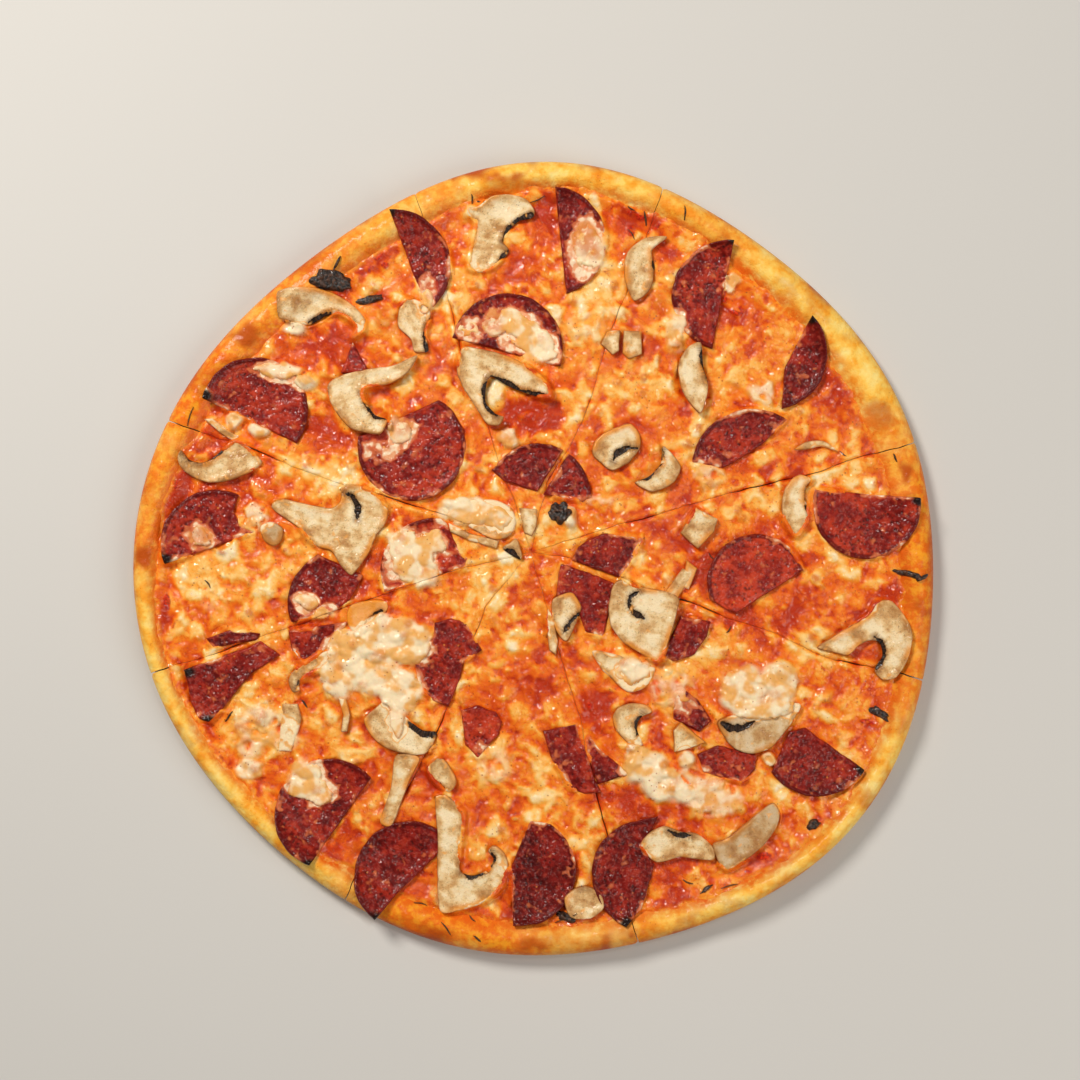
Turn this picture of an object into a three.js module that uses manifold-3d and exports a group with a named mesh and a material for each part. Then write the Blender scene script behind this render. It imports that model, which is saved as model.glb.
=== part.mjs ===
// A whole baked pizza, cut into eight uneven slices that still lie together.
// Units are millimetres, +Z is up, the flat underside is at z = 0, and the
// origin is under the middle of the pizza. Looking down, +X is to the right.
//
// Each slice has a wedge of crust, with its raised rim, and a wedge of cheese
// and sauce lying on it. The salami pieces and the larger mushroom pieces are
// solids of their own. Smaller mushroom pieces are fused to the cheese.

import * as THREE from 'three';
import { mergeVertices } from 'three/addons/utils/BufferGeometryUtils.js';
import Module from 'manifold-3d';

const wasm = await Module();
wasm.setup();

// ---------------------------------------------------------------- dimensions

// Plan places are grid points, x to the right and y down, turned into
// millimetres by this scale about this middle.
const MM_PER_GRID = 0.3721;
const GRID_MIDDLE = [533.2, 557.0];

const PIZZA_RADIUS = 146.8;   // mean radius of the outline
const OUTLINE_WAVES = [       // [lobes, height mm, direction of the first lobe]
  [1, 3.86, -45], [2, 1.5, -30], [3, 2.6, -135], [4, 1.2, -16],
  [5, 1.2, 138], [6, 0.9, 144],
];
const RIM_WIDTH = 11.8;       // bare crust between the outline and the cheese
const RIM_WAVES = [[1, 1.8, 60], [3, 2.6, 57]];

const BASE_THICKNESS = 4.5;   // crust under the cheese
const RIM_HEIGHT = 11.0;      // top of the rim
const RIM_LUMP = 1.1;         // how far the rim's top rises and falls
const RIM_LUMP_SIZE = 16;     // distance between the rim's lumps, along it
const RIM_LUMP_TURN = 40;     // how fast they change from the rim's inside to its outside
const UNDER_TUCK = 3.5;       // how far the underside is drawn in at the edge
const BELLY_HEIGHT = 1.6;     // where the rim's side has swelled out again
const BELLY_TUCK = 0.9;       // how far it is still drawn in there
const GAP = 0.3;              // clearance between pieces that touch
const CHEESE_TOP = 7.4;       // mean height of the melted cheese
const CHEESE_LUMP = 0.75;     // how far the cheese rises and falls
const LUMP_SIZE = 13;         // distance between the cheese's larger lumps
const SMALL_LUMPS = 0.5;      // size and height of its smaller lumps beside the larger ones
const SMALL_LUMPS_AT = 50;    // how far over the smaller lumps' pattern starts
const CHEESE_EDGE = 0.8;      // cheese thickness where it ends on the rim
const CHEESE_END = -0.02;     // where it ends, as a share of the rim's width
const CHEESE_END_TOP = -0.04; // the same for its upper edge
const KERF = 0.8;             // width of a cut between two slices

const SEAT = 6.4;             // underside of a topping that lies on the cheese
const SEAT_OVER_CRUST = 1.0;  // or this far above the crust, up the rim
const SALAMI_THICKNESS = 1.7;
const MUSHROOM_THICKNESS = 2.9;
const MUSHROOM_BEVEL = 0.6;
const PILE_LIFT = 2.1;        // how much higher a piece lies on another piece
const ABOVE_ALL = 40;         // a height over everything
const BELOW_ALL = -2;         // and one under everything
const KERF_OVER = 1;          // how much further than the slices' wedges a cut reaches up and down
const FAR_OUT = 2;            // how many times further out than its cuts a slice's wedge reaches

const RINGS = 15;             // rings of points over the cheese
const SECTORS = 6;            // even parts that those rings are made of
const SIDES = RINGS * SECTORS; // points round the outline
const ARC_STEP = 15;          // degrees between points on a salami's round edge
const LOOP_POINTS_PER_CORNER = 1.25;
const SHARPEST = 0.4;         // keeps a sharp corner from being pushed out too far
const SAME_PLACE = 1e-4;      // points closer than this are one point
const SEED = 7;

// The eight cuts, from the pizza's middle out past the rim.
const CUT_MIDDLE = [531, 552];
const CUTS = [
  [[633, 522], [698, 502], [784, 480], [895, 448], [960, 428]],
  [[547, 481], [565, 453], [581, 420], [666, 185], [684, 135]],
  [[517, 510], [500, 465], [462, 350], [416, 195], [398, 140]],
  [[439, 514], [345, 485], [231, 442], [185, 425], [110, 398]],
  [[460, 570], [380, 595], [290, 628], [151, 674], [80, 698]],
  [[486, 604], [435, 735], [399, 800], [380, 829], [350, 888], [322, 945]],
  [[543, 602], [568, 681], [596, 788], [638, 940], [652, 990]],
  [[562, 557], [678, 600], [762, 628], [831, 658], [921, 679], [985, 695]],
];

// Salami: a round slice about a middle, with its radius and the stretch of its
// round edge that is there, closed by straight cuts through the listed corners.
const slice = (middle, radius, from, to, ...corners) => ({ middle, radius, from, to, corners });
const patch = (...corners) => ({ corners });

const SALAMI = {
  salami_1: slice([396, 267], 20.5, -55, 96),
  salami_2: slice([552, 242], 20.1, -75, 87),
  salami_3: slice([507, 350], 20.8, -18, 168),
  salami_4: slice([726, 297], 20.3, 83, 255),
  salami_5: slice([771, 356], 20.3, -80, 45, [784, 368]),
  salami_6: slice([752, 471], 22.9, 56, 172, [722, 469], [760, 446]),
  salami_7: slice([257, 411], 19.4, -39, 168),
  salami_8: slice([412, 447], 20.1, 169, 420),
  salami_9: slice([538, 497], 19.7, 62, 150, [503, 481], [537, 492], [545, 480]),
  salami_10: slice([538, 497], 19.7, 0, 55, [550, 483], [543, 495], [583, 502]),
  salami_11: slice([217, 544], 20.1, 65, 202, [258, 532], [242, 525], [235, 512]),
  salami_12: slice([343, 603], 20.1, 116, 201, [335, 611], [351, 600], [364, 575]),
  salami_13: patch([290, 630], [349, 621], [332, 645], [304, 667], [293, 648]),
  salami_14: slice([435, 572], 20.1, 83, 202, [465, 567], [470, 558], [460, 551], [447, 524]),
  salami_15: patch([186, 669], [207, 661], [249, 647], [262, 640], [282, 654], [253, 673],
    [222, 711], [211, 721], [201, 717], [193, 701]),
  salami_16: patch([435, 622], [452, 618], [468, 621], [482, 650], [464, 662], [460, 680],
    [449, 706], [433, 700], [420, 686], [414, 660], [434, 636]),
  salami_17: patch([571, 560], [578, 547], [591, 538], [607, 533], [645, 537], [632, 560],
    [620, 578], [596, 570]),
  salami_18: patch([560, 563], [590, 573], [615, 583], [610, 606], [603, 637], [585, 631],
    [573, 596], [556, 597]),
  salami_19: slice([755, 583], 18.2, 15, 200, [725, 609], [735, 613]),
  salami_20: slice([864, 506], 19.7, 162, 368),
  salami_21: patch([680, 616], [710, 621], [706, 636], [694, 654], [676, 661], [659, 658]),
  salami_22: patch([461, 709], [478, 704], [496, 711], [502, 720], [499, 733], [478, 757],
    [466, 744]),
  salami_23: patch([543, 730], [576, 722], [584, 744], [594, 776], [601, 791], [584, 792],
    [570, 788], [550, 755]),
  salami_24: patch([582, 726], [604, 751], [629, 773], [597, 783], [586, 752]),
  salami_25: slice([815, 741], 20.1, 213, 330, [804, 727], [788, 730]),
  salami_26: slice([331, 811], 20.1, 40, 250),
  salami_27: slice([407, 876], 20.1, 55, 232, [399, 890], [438, 853]),
  salami_28: slice([522, 868], 20.1, -75, 60, [530, 818], [511, 865], [513, 922]),
  salami_29: slice([645, 872], 20.1, 105, 248, [641, 906], [654, 862], [642, 845], [658, 814]),
};

// Mushrooms: cut lengthways, each a smooth loop round its cap and stem.
// A piled one lies on another topping.
const loop = (...corners) => ({ smooth: true, corners });
const piled = (shape) => ({ ...shape, lift: PILE_LIFT });

const MUSHROOMS = {
  mushroom_1: loop([492, 198], [510, 196], [526, 200], [535, 211], [532, 219], [519, 222],
    [505, 240], [509, 251], [492, 270], [478, 274], [468, 268], [474, 222], [467, 211]),
  mushroom_2: loop([667, 238], [642, 240], [624, 265], [625, 283], [634, 302], [650, 290],
    [654, 270], [653, 251]),
  mushroom_3: loop([280, 294], [292, 290], [319, 290], [353, 306], [366, 326], [353, 338],
    [339, 318], [312, 326], [281, 320]),
  mushroom_4: piled(loop([329, 385], [343, 376], [395, 366], [418, 356], [409, 373],
    [366, 390], [369, 408], [388, 421], [380, 434], [353, 430], [333, 408])),
  mushroom_5: piled(loop([463, 349], [498, 354], [541, 378], [549, 399], [508, 387],
    [488, 382], [487, 403], [504, 418], [487, 425], [464, 389])),
  mushroom_6: piled(loop([700, 344], [683, 353], [678, 367], [685, 400], [699, 414],
    [707, 390], [702, 365])),
  mushroom_7: loop([592, 454], [594, 443], [603, 434], [630, 424], [639, 434], [640, 448],
    [612, 470]),
  mushroom_8: loop([799, 475], [783, 491], [780, 507], [793, 537], [808, 520], [806, 500],
    [811, 480]),
  mushroom_9: loop([183, 454], [183, 467], [211, 483], [231, 481], [262, 463], [238, 441],
    [205, 462]),
  mushroom_10: loop([273, 508], [278, 498], [335, 508], [342, 490], [364, 487], [389, 508],
    [378, 535], [352, 575], [332, 551], [317, 546], [299, 528]),
  mushroom_11: piled(loop([610, 594], [618, 581], [628, 579], [664, 591], [678, 598],
    [670, 634], [658, 660], [639, 653], [621, 640])),
  mushroom_12: loop([815, 647], [865, 615], [872, 601], [888, 601], [907, 634], [904, 658],
    [886, 679], [873, 668], [874, 645], [849, 654]),
  mushroom_13: loop([717, 720], [730, 745], [755, 752], [783, 731], [799, 703], [760, 706]),
  mushroom_14: loop([365, 718], [388, 698], [409, 718], [437, 731], [428, 753], [386, 746]),
  mushroom_15: loop([436, 795], [446, 793], [464, 809], [461, 866], [477, 873], [492, 845],
    [508, 863], [494, 893], [459, 907], [440, 906]),
};

// Smaller pieces of mushroom and salami, part sunk in the cheese.
const HALF_SUNK = [
  loop([399, 311], [406, 299], [422, 304], [431, 315], [427, 351], [413, 350]),
  loop([601, 345], [606, 331], [641, 331], [642, 355], [615, 357]),
  loop([664, 448], [680, 468], [664, 489], [634, 484], [658, 464]),
  loop([695, 508], [717, 519], [697, 548], [679, 533]),
  loop([441, 508], [496, 500], [515, 515], [510, 536], [467, 526]),
  loop([551, 601], [573, 593], [580, 612], [567, 641], [553, 615]),
  loop([592, 650], [613, 680], [628, 691], [655, 668], [640, 664]),
  loop([612, 716], [626, 703], [651, 709], [638, 724], [645, 745], [620, 738]),
  loop([672, 729], [680, 721], [705, 741], [675, 750]),
  loop([396, 755], [419, 756], [392, 824], [381, 820]),
  loop([428, 765], [438, 755], [457, 780], [448, 790]),
  loop([328, 650], [290, 677], [296, 692], [309, 677], [330, 662]),
  loop([348, 611], [371, 600], [389, 606], [360, 636]),
  loop([284, 703], [300, 705], [293, 750], [280, 748]),
  loop([564, 895], [590, 885], [603, 905], [570, 914]),
  loop([640, 844], [664, 824], [694, 831], [712, 850], [655, 860]),
  loop([711, 843], [770, 805], [774, 828], [722, 866]),
  loop([675, 692], [690, 691], [711, 720], [697, 730], [672, 718]),
  loop([696, 753], [716, 744], [755, 755], [740, 780], [702, 771]),
];

// ------------------------------------------------------------------ finishes

const finish = (color, roughness) => new THREE.MeshStandardMaterial({ color, roughness, metalness: 0 });
const CRUST_FINISH = finish(0xe3a551, 0.75);
const CHEESE_FINISH = finish(0xe08a42, 0.35);
const SALAMI_FINISH = finish(0x842a22, 0.45);
const MUSHROOM_FINISH = finish(0xd9c39c, 0.6);

// ------------------------------------------------------- the pizza's surfaces

const radians = (angle) => (angle * Math.PI) / 180;
const smooth = (t) => t * t * (3 - 2 * t);

function waves(list, angle) {
  return list.reduce((sum, [lobes, height, first]) =>
    sum + height * Math.cos(lobes * angle - radians(first)), 0);
}

const outlineRadius = (angle) => PIZZA_RADIUS + waves(OUTLINE_WAVES, angle);
const rimWidth = (angle) => RIM_WIDTH + waves(RIM_WAVES, angle);
const cheeseRadius = (angle) => outlineRadius(angle) - rimWidth(angle);

function gridToPlan([x, y]) {
  return [(x - GRID_MIDDLE[0]) * MM_PER_GRID, (GRID_MIDDLE[1] - y) * MM_PER_GRID];
}

// A number from 0 to 1 that is always the same for the same grid cell.
function cellNoise(i, j) {
  const wave = Math.sin(i * 127.1 + j * 311.7 + SEED * 74.7) * 43758.5453;
  return wave - Math.floor(wave);
}

// Smooth seeded lumps from -1 to 1, one every `size` millimetres.
function lumps(x, y, size) {
  const i = Math.floor(x / size);
  const j = Math.floor(y / size);
  const u = smooth(x / size - i);
  const v = smooth(y / size - j);
  const low = cellNoise(i, j) * (1 - u) + cellNoise(i + 1, j) * u;
  const high = cellNoise(i, j + 1) * (1 - u) + cellNoise(i + 1, j + 1) * u;
  return 2 * (low * (1 - v) + high * v) - 1;
}

// The crust's upper side across the rim: [share of the rim's width outside
// the cheese's edge, height]. A negative share lies under the cheese.
const RIM_RISE = [[-0.45, BASE_THICKNESS], [-0.2, 5.6], [0, 7.3], [0.22, 9.8], [0.5, RIM_HEIGHT],
  [0.76, 9.6], [0.92, 7.4], [1, 4.6]];

function rimLump(angle, share) {
  const around = outlineRadius(angle) * angle;
  return share > 0 && share < 1 ? RIM_LUMP * lumps(around, RIM_LUMP_TURN * share, RIM_LUMP_SIZE) : 0;
}

function crustTop(x, y) {
  const angle = Math.atan2(y, x);
  const share = (Math.hypot(x, y) - cheeseRadius(angle)) / rimWidth(angle);
  if (share <= RIM_RISE[0][0]) return BASE_THICKNESS;
  for (let k = 1; k < RIM_RISE.length; k += 1) {
    const [outer, high] = RIM_RISE[k];
    const [inner, low] = RIM_RISE[k - 1];
    if (share <= outer) return low + ((high - low) * (share - inner)) / (outer - inner);
  }
  return RIM_RISE[RIM_RISE.length - 1][1];
}

const seatHeight = (x, y) => Math.max(SEAT, crustTop(x, y) + SEAT_OVER_CRUST);

// ------------------------------------------------------------ making solids

function solidFrom(geometry) {
  const bare = geometry.index ? geometry.toNonIndexed() : geometry.clone();
  bare.deleteAttribute('normal');
  bare.deleteAttribute('uv');
  const merged = mergeVertices(bare, SAME_PLACE);
  return new wasm.Manifold(new wasm.Mesh({
    numProp: 3,
    vertProperties: new Float32Array(merged.attributes.position.array),
    triVerts: new Uint32Array(merged.index.array),
  }));
}

function meshFrom(solid, name, material) {
  const { vertProperties, triVerts } = solid.getMesh();
  const geometry = new THREE.BufferGeometry();
  geometry.setAttribute('position', new THREE.BufferAttribute(vertProperties, 3));
  geometry.setIndex(new THREE.BufferAttribute(triVerts, 1));
  geometry.computeVertexNormals();
  const mesh = new THREE.Mesh(geometry, material);
  mesh.name = name;
  return mesh;
}

function geometryFromTriangles(triangles) {
  const geometry = new THREE.BufferGeometry();
  geometry.setAttribute('position', new THREE.Float32BufferAttribute(triangles.flat(2), 3));
  return geometry;
}

// A ring of points round the pizza: radius and height are functions of angle.
function ring(radius, height) {
  return Array.from({ length: SIDES }, (_, k) => {
    const angle = (k * 2 * Math.PI) / SIDES;
    const r = radius(angle);
    return [r * Math.cos(angle), r * Math.sin(angle), height(angle)];
  });
}

// The wall of triangles between two rings; the first ring is the lower one.
function wall(lower, upper) {
  return lower.flatMap((corner, k) => {
    const next = (k + 1) % SIDES;
    return [[corner, lower[next], upper[next]], [corner, upper[next], upper[k]]];
  });
}

// A flat fan that closes a ring, facing up or down.
function fan(edge, height, up) {
  const middle = [0, 0, height];
  return edge.map((corner, k) => {
    const next = edge[(k + 1) % SIDES];
    return up ? [middle, corner, next] : [middle, next, corner];
  });
}

// A cap of even triangles over the pizza: ring j has j points in each sector.
function evenCap(radius, height) {
  const corner = (j, k) => {
    const angle = j === 0 ? 0 : (k * 2 * Math.PI) / (SECTORS * j);
    const r = (radius(angle) * j) / RINGS;
    const [x, y] = [r * Math.cos(angle), r * Math.sin(angle)];
    return [x, y, height(x, y)];
  };
  const triangles = [];
  for (let j = 0; j < RINGS; j += 1) {
    for (let sector = 0; sector < SECTORS; sector += 1) {
      for (let k = 0; k <= j; k += 1) {
        const outer = sector * (j + 1) + k;
        const inner = sector * j + k;
        triangles.push([corner(j, inner), corner(j + 1, outer), corner(j + 1, outer + 1)]);
        if (k < j) triangles.push([corner(j, inner), corner(j + 1, outer + 1), corner(j, inner + 1)]);
      }
    }
  }
  return triangles;
}

// A closed outline in the plan, pushed up between two heights.
function prism(outline, bottom, top, bevel = 0) {
  const shape = new THREE.Shape(outline.map(([x, y]) => new THREE.Vector2(x, y)));
  const geometry = new THREE.ExtrudeGeometry(shape, {
    depth: top - bottom - 2 * bevel,
    bevelEnabled: bevel > 0,
    bevelThickness: bevel,
    bevelSize: bevel,
    bevelOffset: -bevel,
    bevelSegments: 1,
  });
  return geometry.translate(0, 0, bottom + bevel);
}

// ------------------------------------------------------------------- outlines

function turnsLeft(outline) {
  return !THREE.ShapeUtils.isClockWise(outline.map(([x, y]) => ({ x, y })));
}

function outlineOf(shape) {
  const corners = shape.corners.map(gridToPlan);
  let outline = corners;
  if (shape.smooth) {
    const points = corners.map(([x, y]) => new THREE.Vector3(x, y, 0));
    const curve = new THREE.CatmullRomCurve3(points, true, 'centripetal');
    const count = Math.round(corners.length * LOOP_POINTS_PER_CORNER);
    outline = curve.getSpacedPoints(count).slice(0, -1).map(({ x, y }) => [x, y]);
  } else if (shape.radius) {
    const [x, y] = gridToPlan(shape.middle);
    const steps = Math.round((shape.to - shape.from) / ARC_STEP);
    const arc = Array.from({ length: steps + 1 }, (_, k) => {
      const angle = radians(shape.from + ((shape.to - shape.from) * k) / steps);
      return [x + shape.radius * Math.cos(angle), y + shape.radius * Math.sin(angle)];
    });
    outline = arc.concat(corners);
  }
  return turnsLeft(outline) ? outline : outline.reverse();
}

// The outline pushed outwards by the same distance everywhere.
function grown(outline, distance) {
  const count = outline.length;
  return outline.map(([x, y], k) => {
    const [px, py] = outline[(k + count - 1) % count];
    const [nx, ny] = outline[(k + 1) % count];
    const before = new THREE.Vector2(y - py, px - x).normalize();
    const after = new THREE.Vector2(ny - y, x - nx).normalize();
    const out = before.clone().add(after).normalize();
    const reach = distance / Math.max(SHARPEST, out.dot(after));
    return [x + out.x * reach, y + out.y * reach];
  });
}

// ------------------------------------------------------------ crust and cheese

function wholeCrust() {
  const under = ring((a) => outlineRadius(a) - UNDER_TUCK, () => 0);
  const belly = ring((a) => outlineRadius(a) - BELLY_TUCK, () => BELLY_HEIGHT);
  const rows = RIM_RISE.map(([share, height]) => ring(
    (a) => cheeseRadius(a) + share * rimWidth(a),
    (a) => height + rimLump(a, share),
  )).reverse();
  const rings = [under, belly, ...rows];
  const walls = rings.slice(1).flatMap((upper, k) => wall(rings[k], upper));
  const inner = rings[rings.length - 1];
  return solidFrom(geometryFromTriangles(
    [...fan(under, 0, false), ...walls, ...fan(inner, BASE_THICKNESS, true)],
  ));
}

function wholeCheese() {
  const [[flatShare], [slopeShare, slopeHeight], [, edgeHeight]] = RIM_RISE;
  const at = (share) => (a) => cheeseRadius(a) + share * rimWidth(a);
  const bottomFlat = ring(at(flatShare), () => BASE_THICKNESS + GAP);
  const bottomSlope = ring(at(slopeShare), () => slopeHeight + GAP);
  const bottomEdge = ring(at(CHEESE_END), () => edgeHeight + GAP);
  const topEdge = ring(at(CHEESE_END_TOP), () => edgeHeight + GAP + CHEESE_EDGE);
  const topHeight = (x, y) => {
    const small = lumps(x + SMALL_LUMPS_AT, y, SMALL_LUMPS * LUMP_SIZE);
    const lump = (lumps(x, y, LUMP_SIZE) + SMALL_LUMPS * small) / (1 + SMALL_LUMPS);
    return CHEESE_TOP + CHEESE_LUMP * lump;
  };
  const cap = evenCap(at(flatShare), topHeight);
  const topFlat = ring(at(flatShare), (a) => {
    const r = at(flatShare)(a);
    return topHeight(r * Math.cos(a), r * Math.sin(a));
  });
  return solidFrom(geometryFromTriangles([
    ...fan(bottomFlat, BASE_THICKNESS + GAP, false),
    ...wall(bottomFlat, bottomSlope), ...wall(bottomSlope, bottomEdge),
    ...wall(bottomEdge, topEdge), ...wall(topEdge, topFlat), ...cap,
  ]));
}

// The outline of one slice, between two cuts, reaching past the rim.
function wedge(first, second) {
  const path = (cut) => {
    const places = cut.map(gridToPlan);
    const [x, y] = places[places.length - 1];
    return [...places, [x * FAR_OUT, y * FAR_OUT]];
  };
  const corners = [gridToPlan(CUT_MIDDLE), ...path(first), ...path(second).reverse()];
  return prism(turnsLeft(corners) ? corners : corners.reverse(), BELOW_ALL, ABOVE_ALL);
}

// A thin wall along one cut, taken out of the slices on both sides of it.
function kerf(cut) {
  const middle = [CUT_MIDDLE, ...cut].map(gridToPlan);
  const side = (sign) => middle.map(([x, y], k) => {
    const [ax, ay] = middle[Math.max(0, k - 1)];
    const [bx, by] = middle[Math.min(middle.length - 1, k + 1)];
    const across = new THREE.Vector2(ay - by, bx - ax).setLength((sign * KERF) / 2);
    return [x + across.x, y + across.y];
  });
  const corners = [...side(-1), ...side(1).reverse()];
  const outline = turnsLeft(corners) ? corners : corners.reverse();
  return prism(outline, BELOW_ALL - KERF_OVER, ABOVE_ALL + KERF_OVER);
}

// -------------------------------------------------------------------- toppings

// Each topping is a flat slab on a slope of its own: level on the flat cheese,
// and leaning up the rim where its outer end lies on it.
function restingPlane(outline, lift) {
  const byReach = outline.toSorted((a, b) => Math.hypot(...a) - Math.hypot(...b));
  const [inner, outer] = [byReach[0], byReach[byReach.length - 1]];
  const [innerReach, outerReach] = [Math.hypot(...inner), Math.hypot(...outer)];
  const slope = (seatHeight(...outer) - seatHeight(...inner)) / (outerReach - innerReach);
  const outward = new THREE.Vector2(...outline.reduce((sum, [x, y]) => [sum[0] + x, sum[1] + y]));
  outward.normalize();
  return (x, y) => seatHeight(...inner) + lift + slope * (outward.x * x + outward.y * y - innerReach);
}

function laid(geometry, lie) {
  const places = geometry.attributes.position;
  for (let k = 0; k < places.count; k += 1) {
    places.setZ(k, places.getZ(k) + lie(places.getX(k), places.getY(k)));
  }
  return geometry;
}

function toppingSolid(shape, thickness, bevel) {
  const outline = outlineOf(shape);
  return solidFrom(laid(prism(outline, 0, thickness, bevel), restingPlane(outline, shape.lift ?? 0)));
}

// The room that a topping takes out of whatever lies under it or beside it.
function toppingRoom(shape) {
  const outline = outlineOf(shape);
  const room = prism(grown(outline, GAP), -GAP, ABOVE_ALL);
  return solidFrom(laid(room, restingPlane(outline, shape.lift ?? 0)));
}

const toppings = [
  ...Object.entries(SALAMI).map(([name, shape]) =>
    ({ name, shape, thickness: SALAMI_THICKNESS, bevel: 0, material: SALAMI_FINISH })),
  ...Object.entries(MUSHROOMS).map(([name, shape]) =>
    ({ name, shape, thickness: MUSHROOM_THICKNESS, bevel: MUSHROOM_BEVEL, material: MUSHROOM_FINISH })),
];
const rooms = toppings.map(({ shape }) => toppingRoom(shape));
const subtractAll = (solid, tools) => tools.reduce((rest, tool) => rest.subtract(tool), solid);

// ------------------------------------------------------------------- assembly

const pizza = new THREE.Group();
const kerfs = CUTS.map((cut) => solidFrom(kerf(cut)));
const crust = subtractAll(wholeCrust(), rooms);
const sunk = HALF_SUNK.map((shape) => toppingSolid(shape, MUSHROOM_THICKNESS, MUSHROOM_BEVEL));
const cheese = subtractAll(sunk.reduce((all, piece) => all.add(piece), wholeCheese()), rooms);

CUTS.forEach((cut, k) => {
  const next = CUTS[(k + 1) % CUTS.length];
  const share = solidFrom(wedge(cut, next));
  const between = (layer) => subtractAll(layer.intersect(share), [kerfs[k], kerfs[(k + 1) % CUTS.length]]);
  pizza.add(meshFrom(between(crust), `crust_${k + 1}`, CRUST_FINISH));
  pizza.add(meshFrom(between(cheese), `cheese_${k + 1}`, CHEESE_FINISH));
});

toppings.forEach(({ name, shape, thickness, bevel, material }, k) => {
  const solid = subtractAll(toppingSolid(shape, thickness, bevel), rooms.slice(k + 1));
  pizza.add(meshFrom(solid, name, material));
});

export default pizza;
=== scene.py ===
"""A whole baked pizza, cut into eight slices: crust, melted cheese, salami and mushrooms.

Lengths are millimetres until a mesh is made, which is in metres. Plan places are grid
points, x to the right and y down, as in the part's own source.
"""

import math

import bpy
import numpy as np
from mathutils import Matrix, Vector
from mathutils.geometry import delaunay_2d_cdt


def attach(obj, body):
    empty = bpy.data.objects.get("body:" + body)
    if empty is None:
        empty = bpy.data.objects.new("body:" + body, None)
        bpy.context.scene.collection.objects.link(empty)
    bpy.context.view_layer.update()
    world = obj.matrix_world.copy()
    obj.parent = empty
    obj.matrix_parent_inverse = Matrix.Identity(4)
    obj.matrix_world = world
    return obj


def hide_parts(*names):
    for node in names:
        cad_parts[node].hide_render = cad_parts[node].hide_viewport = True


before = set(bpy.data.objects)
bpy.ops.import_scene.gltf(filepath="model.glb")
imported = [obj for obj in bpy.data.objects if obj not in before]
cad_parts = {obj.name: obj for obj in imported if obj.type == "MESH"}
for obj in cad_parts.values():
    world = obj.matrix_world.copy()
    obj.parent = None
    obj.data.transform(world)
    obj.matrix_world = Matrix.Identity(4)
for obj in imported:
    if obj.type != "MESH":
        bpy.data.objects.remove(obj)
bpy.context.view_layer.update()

# ---------------------------------------------------------------- dimensions

MM = 0.001                # in metres
MM_PER_GRID = 0.3721      # one step of the plan's grid
GRID_MIDDLE = (533.2, 557.0)

PIZZA_RADIUS = 146.8
# Waves round the edge: [how many lobes, height in mm, direction of the first one in degrees].
OUTLINE_WAVES = [(1, 3.86, -45), (2, 1.5, -30), (3, 2.6, -135), (4, 1.2, -16), (5, 1.2, 138),
                 (6, 0.9, 144)]
RIM_WIDTH = 11.8
RIM_WAVES = [(1, 1.8, 60), (3, 2.6, 57)]

BASE_TOP = 4.5            # the crust's top under the cheese
RIM_TOP = 11.0            # the rim's crest
CREST = 0.5               # where the crest is, from 0 at the cheese to 1 at the edge
RIM_SIDE = 4.6            # height of the rim's outermost line
RIM_FOOT = 7.3            # the crust's top where the cheese ends
UNDER_TUCK = 3.5          # how far the underside is drawn in at the edge
CHEESE_TOP = 7.2
SEAT = 6.5                # underside of a topping on the flat cheese
SALAMI_THICKNESS = 1.6
MUSHROOM_THICKNESS = 2.7
PILE_LIFT = 1.7           # how much higher a piece lies on another topping
LAP_WIDTH = 1.7           # how far cheese runs over a topping's edge at most
MENISCUS = 1.6            # how far out cheese climbs towards a topping
TIP_RISE = 0.8            # how much a dried tip of salami curls up
CURL = 0.9                # how much the round edge of the salami curls up
GILL_WIDTH = 1.9
GILL_DEPTH = 1.1
HERB_WIDTH = 0.34         # half the width of a herb flake
HERB_BEND = 0.35          # how far it bends sideways

CHEESE_MESH = 0.65        # distance between mesh points
CRUST_MESH = 1.0
TOPPING_MESH = 0.65
COARSE_MESH = 5.0         # for faces that nothing shows of
CRUST_EDGE = (0.12, 0.4, 0.9, 1.6)    # how far in from an edge the rows of mesh points lie
CHEESE_EDGE = (0.25,)
TOPPING_EDGE = (0.14, 0.36, 0.75)

# Where the pizza is cut: from where the cuts meet, through these grid points, out past the rim.
CUT_MIDDLE = (531, 552)
CUTS = [
    [(633, 522), (698, 502), (784, 480), (895, 448), (960, 428)],
    [(547, 481), (565, 453), (581, 420), (666, 185), (684, 135)],
    [(517, 510), (500, 465), (462, 350), (416, 195), (398, 140)],
    [(439, 514), (345, 485), (231, 442), (185, 425), (110, 398)],
    [(460, 570), (380, 595), (290, 628), (151, 674), (80, 698)],
    [(486, 604), (435, 735), (399, 800), (380, 829), (350, 888), (322, 945)],
    [(543, 602), (568, 681), (596, 788), (638, 940), (652, 990)],
    [(562, 557), (678, 600), (762, 628), (831, 658), (921, 679), (985, 695)],
]
CUT_OPEN = [0.5, 0.2, 0.1, 0.6, 0.8, 0.5, 0.4, 0.8]     # how far each cut gapes, from 0 to 1


# ------------------------------------------------------------ plan and noise

def to_plan(places):
    """Grid points, x to the right and y down, as millimetres about the middle."""
    points = np.asarray(places, float).reshape(-1, 2)
    return np.column_stack([(points[:, 0] - GRID_MIDDLE[0]) * MM_PER_GRID,
                            (GRID_MIDDLE[1] - points[:, 1]) * MM_PER_GRID])


def smoothstep(low, high, value):
    t = np.clip((value - low) / (high - low), 0, 1)
    return t * t * (3 - 2 * t)


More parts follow.
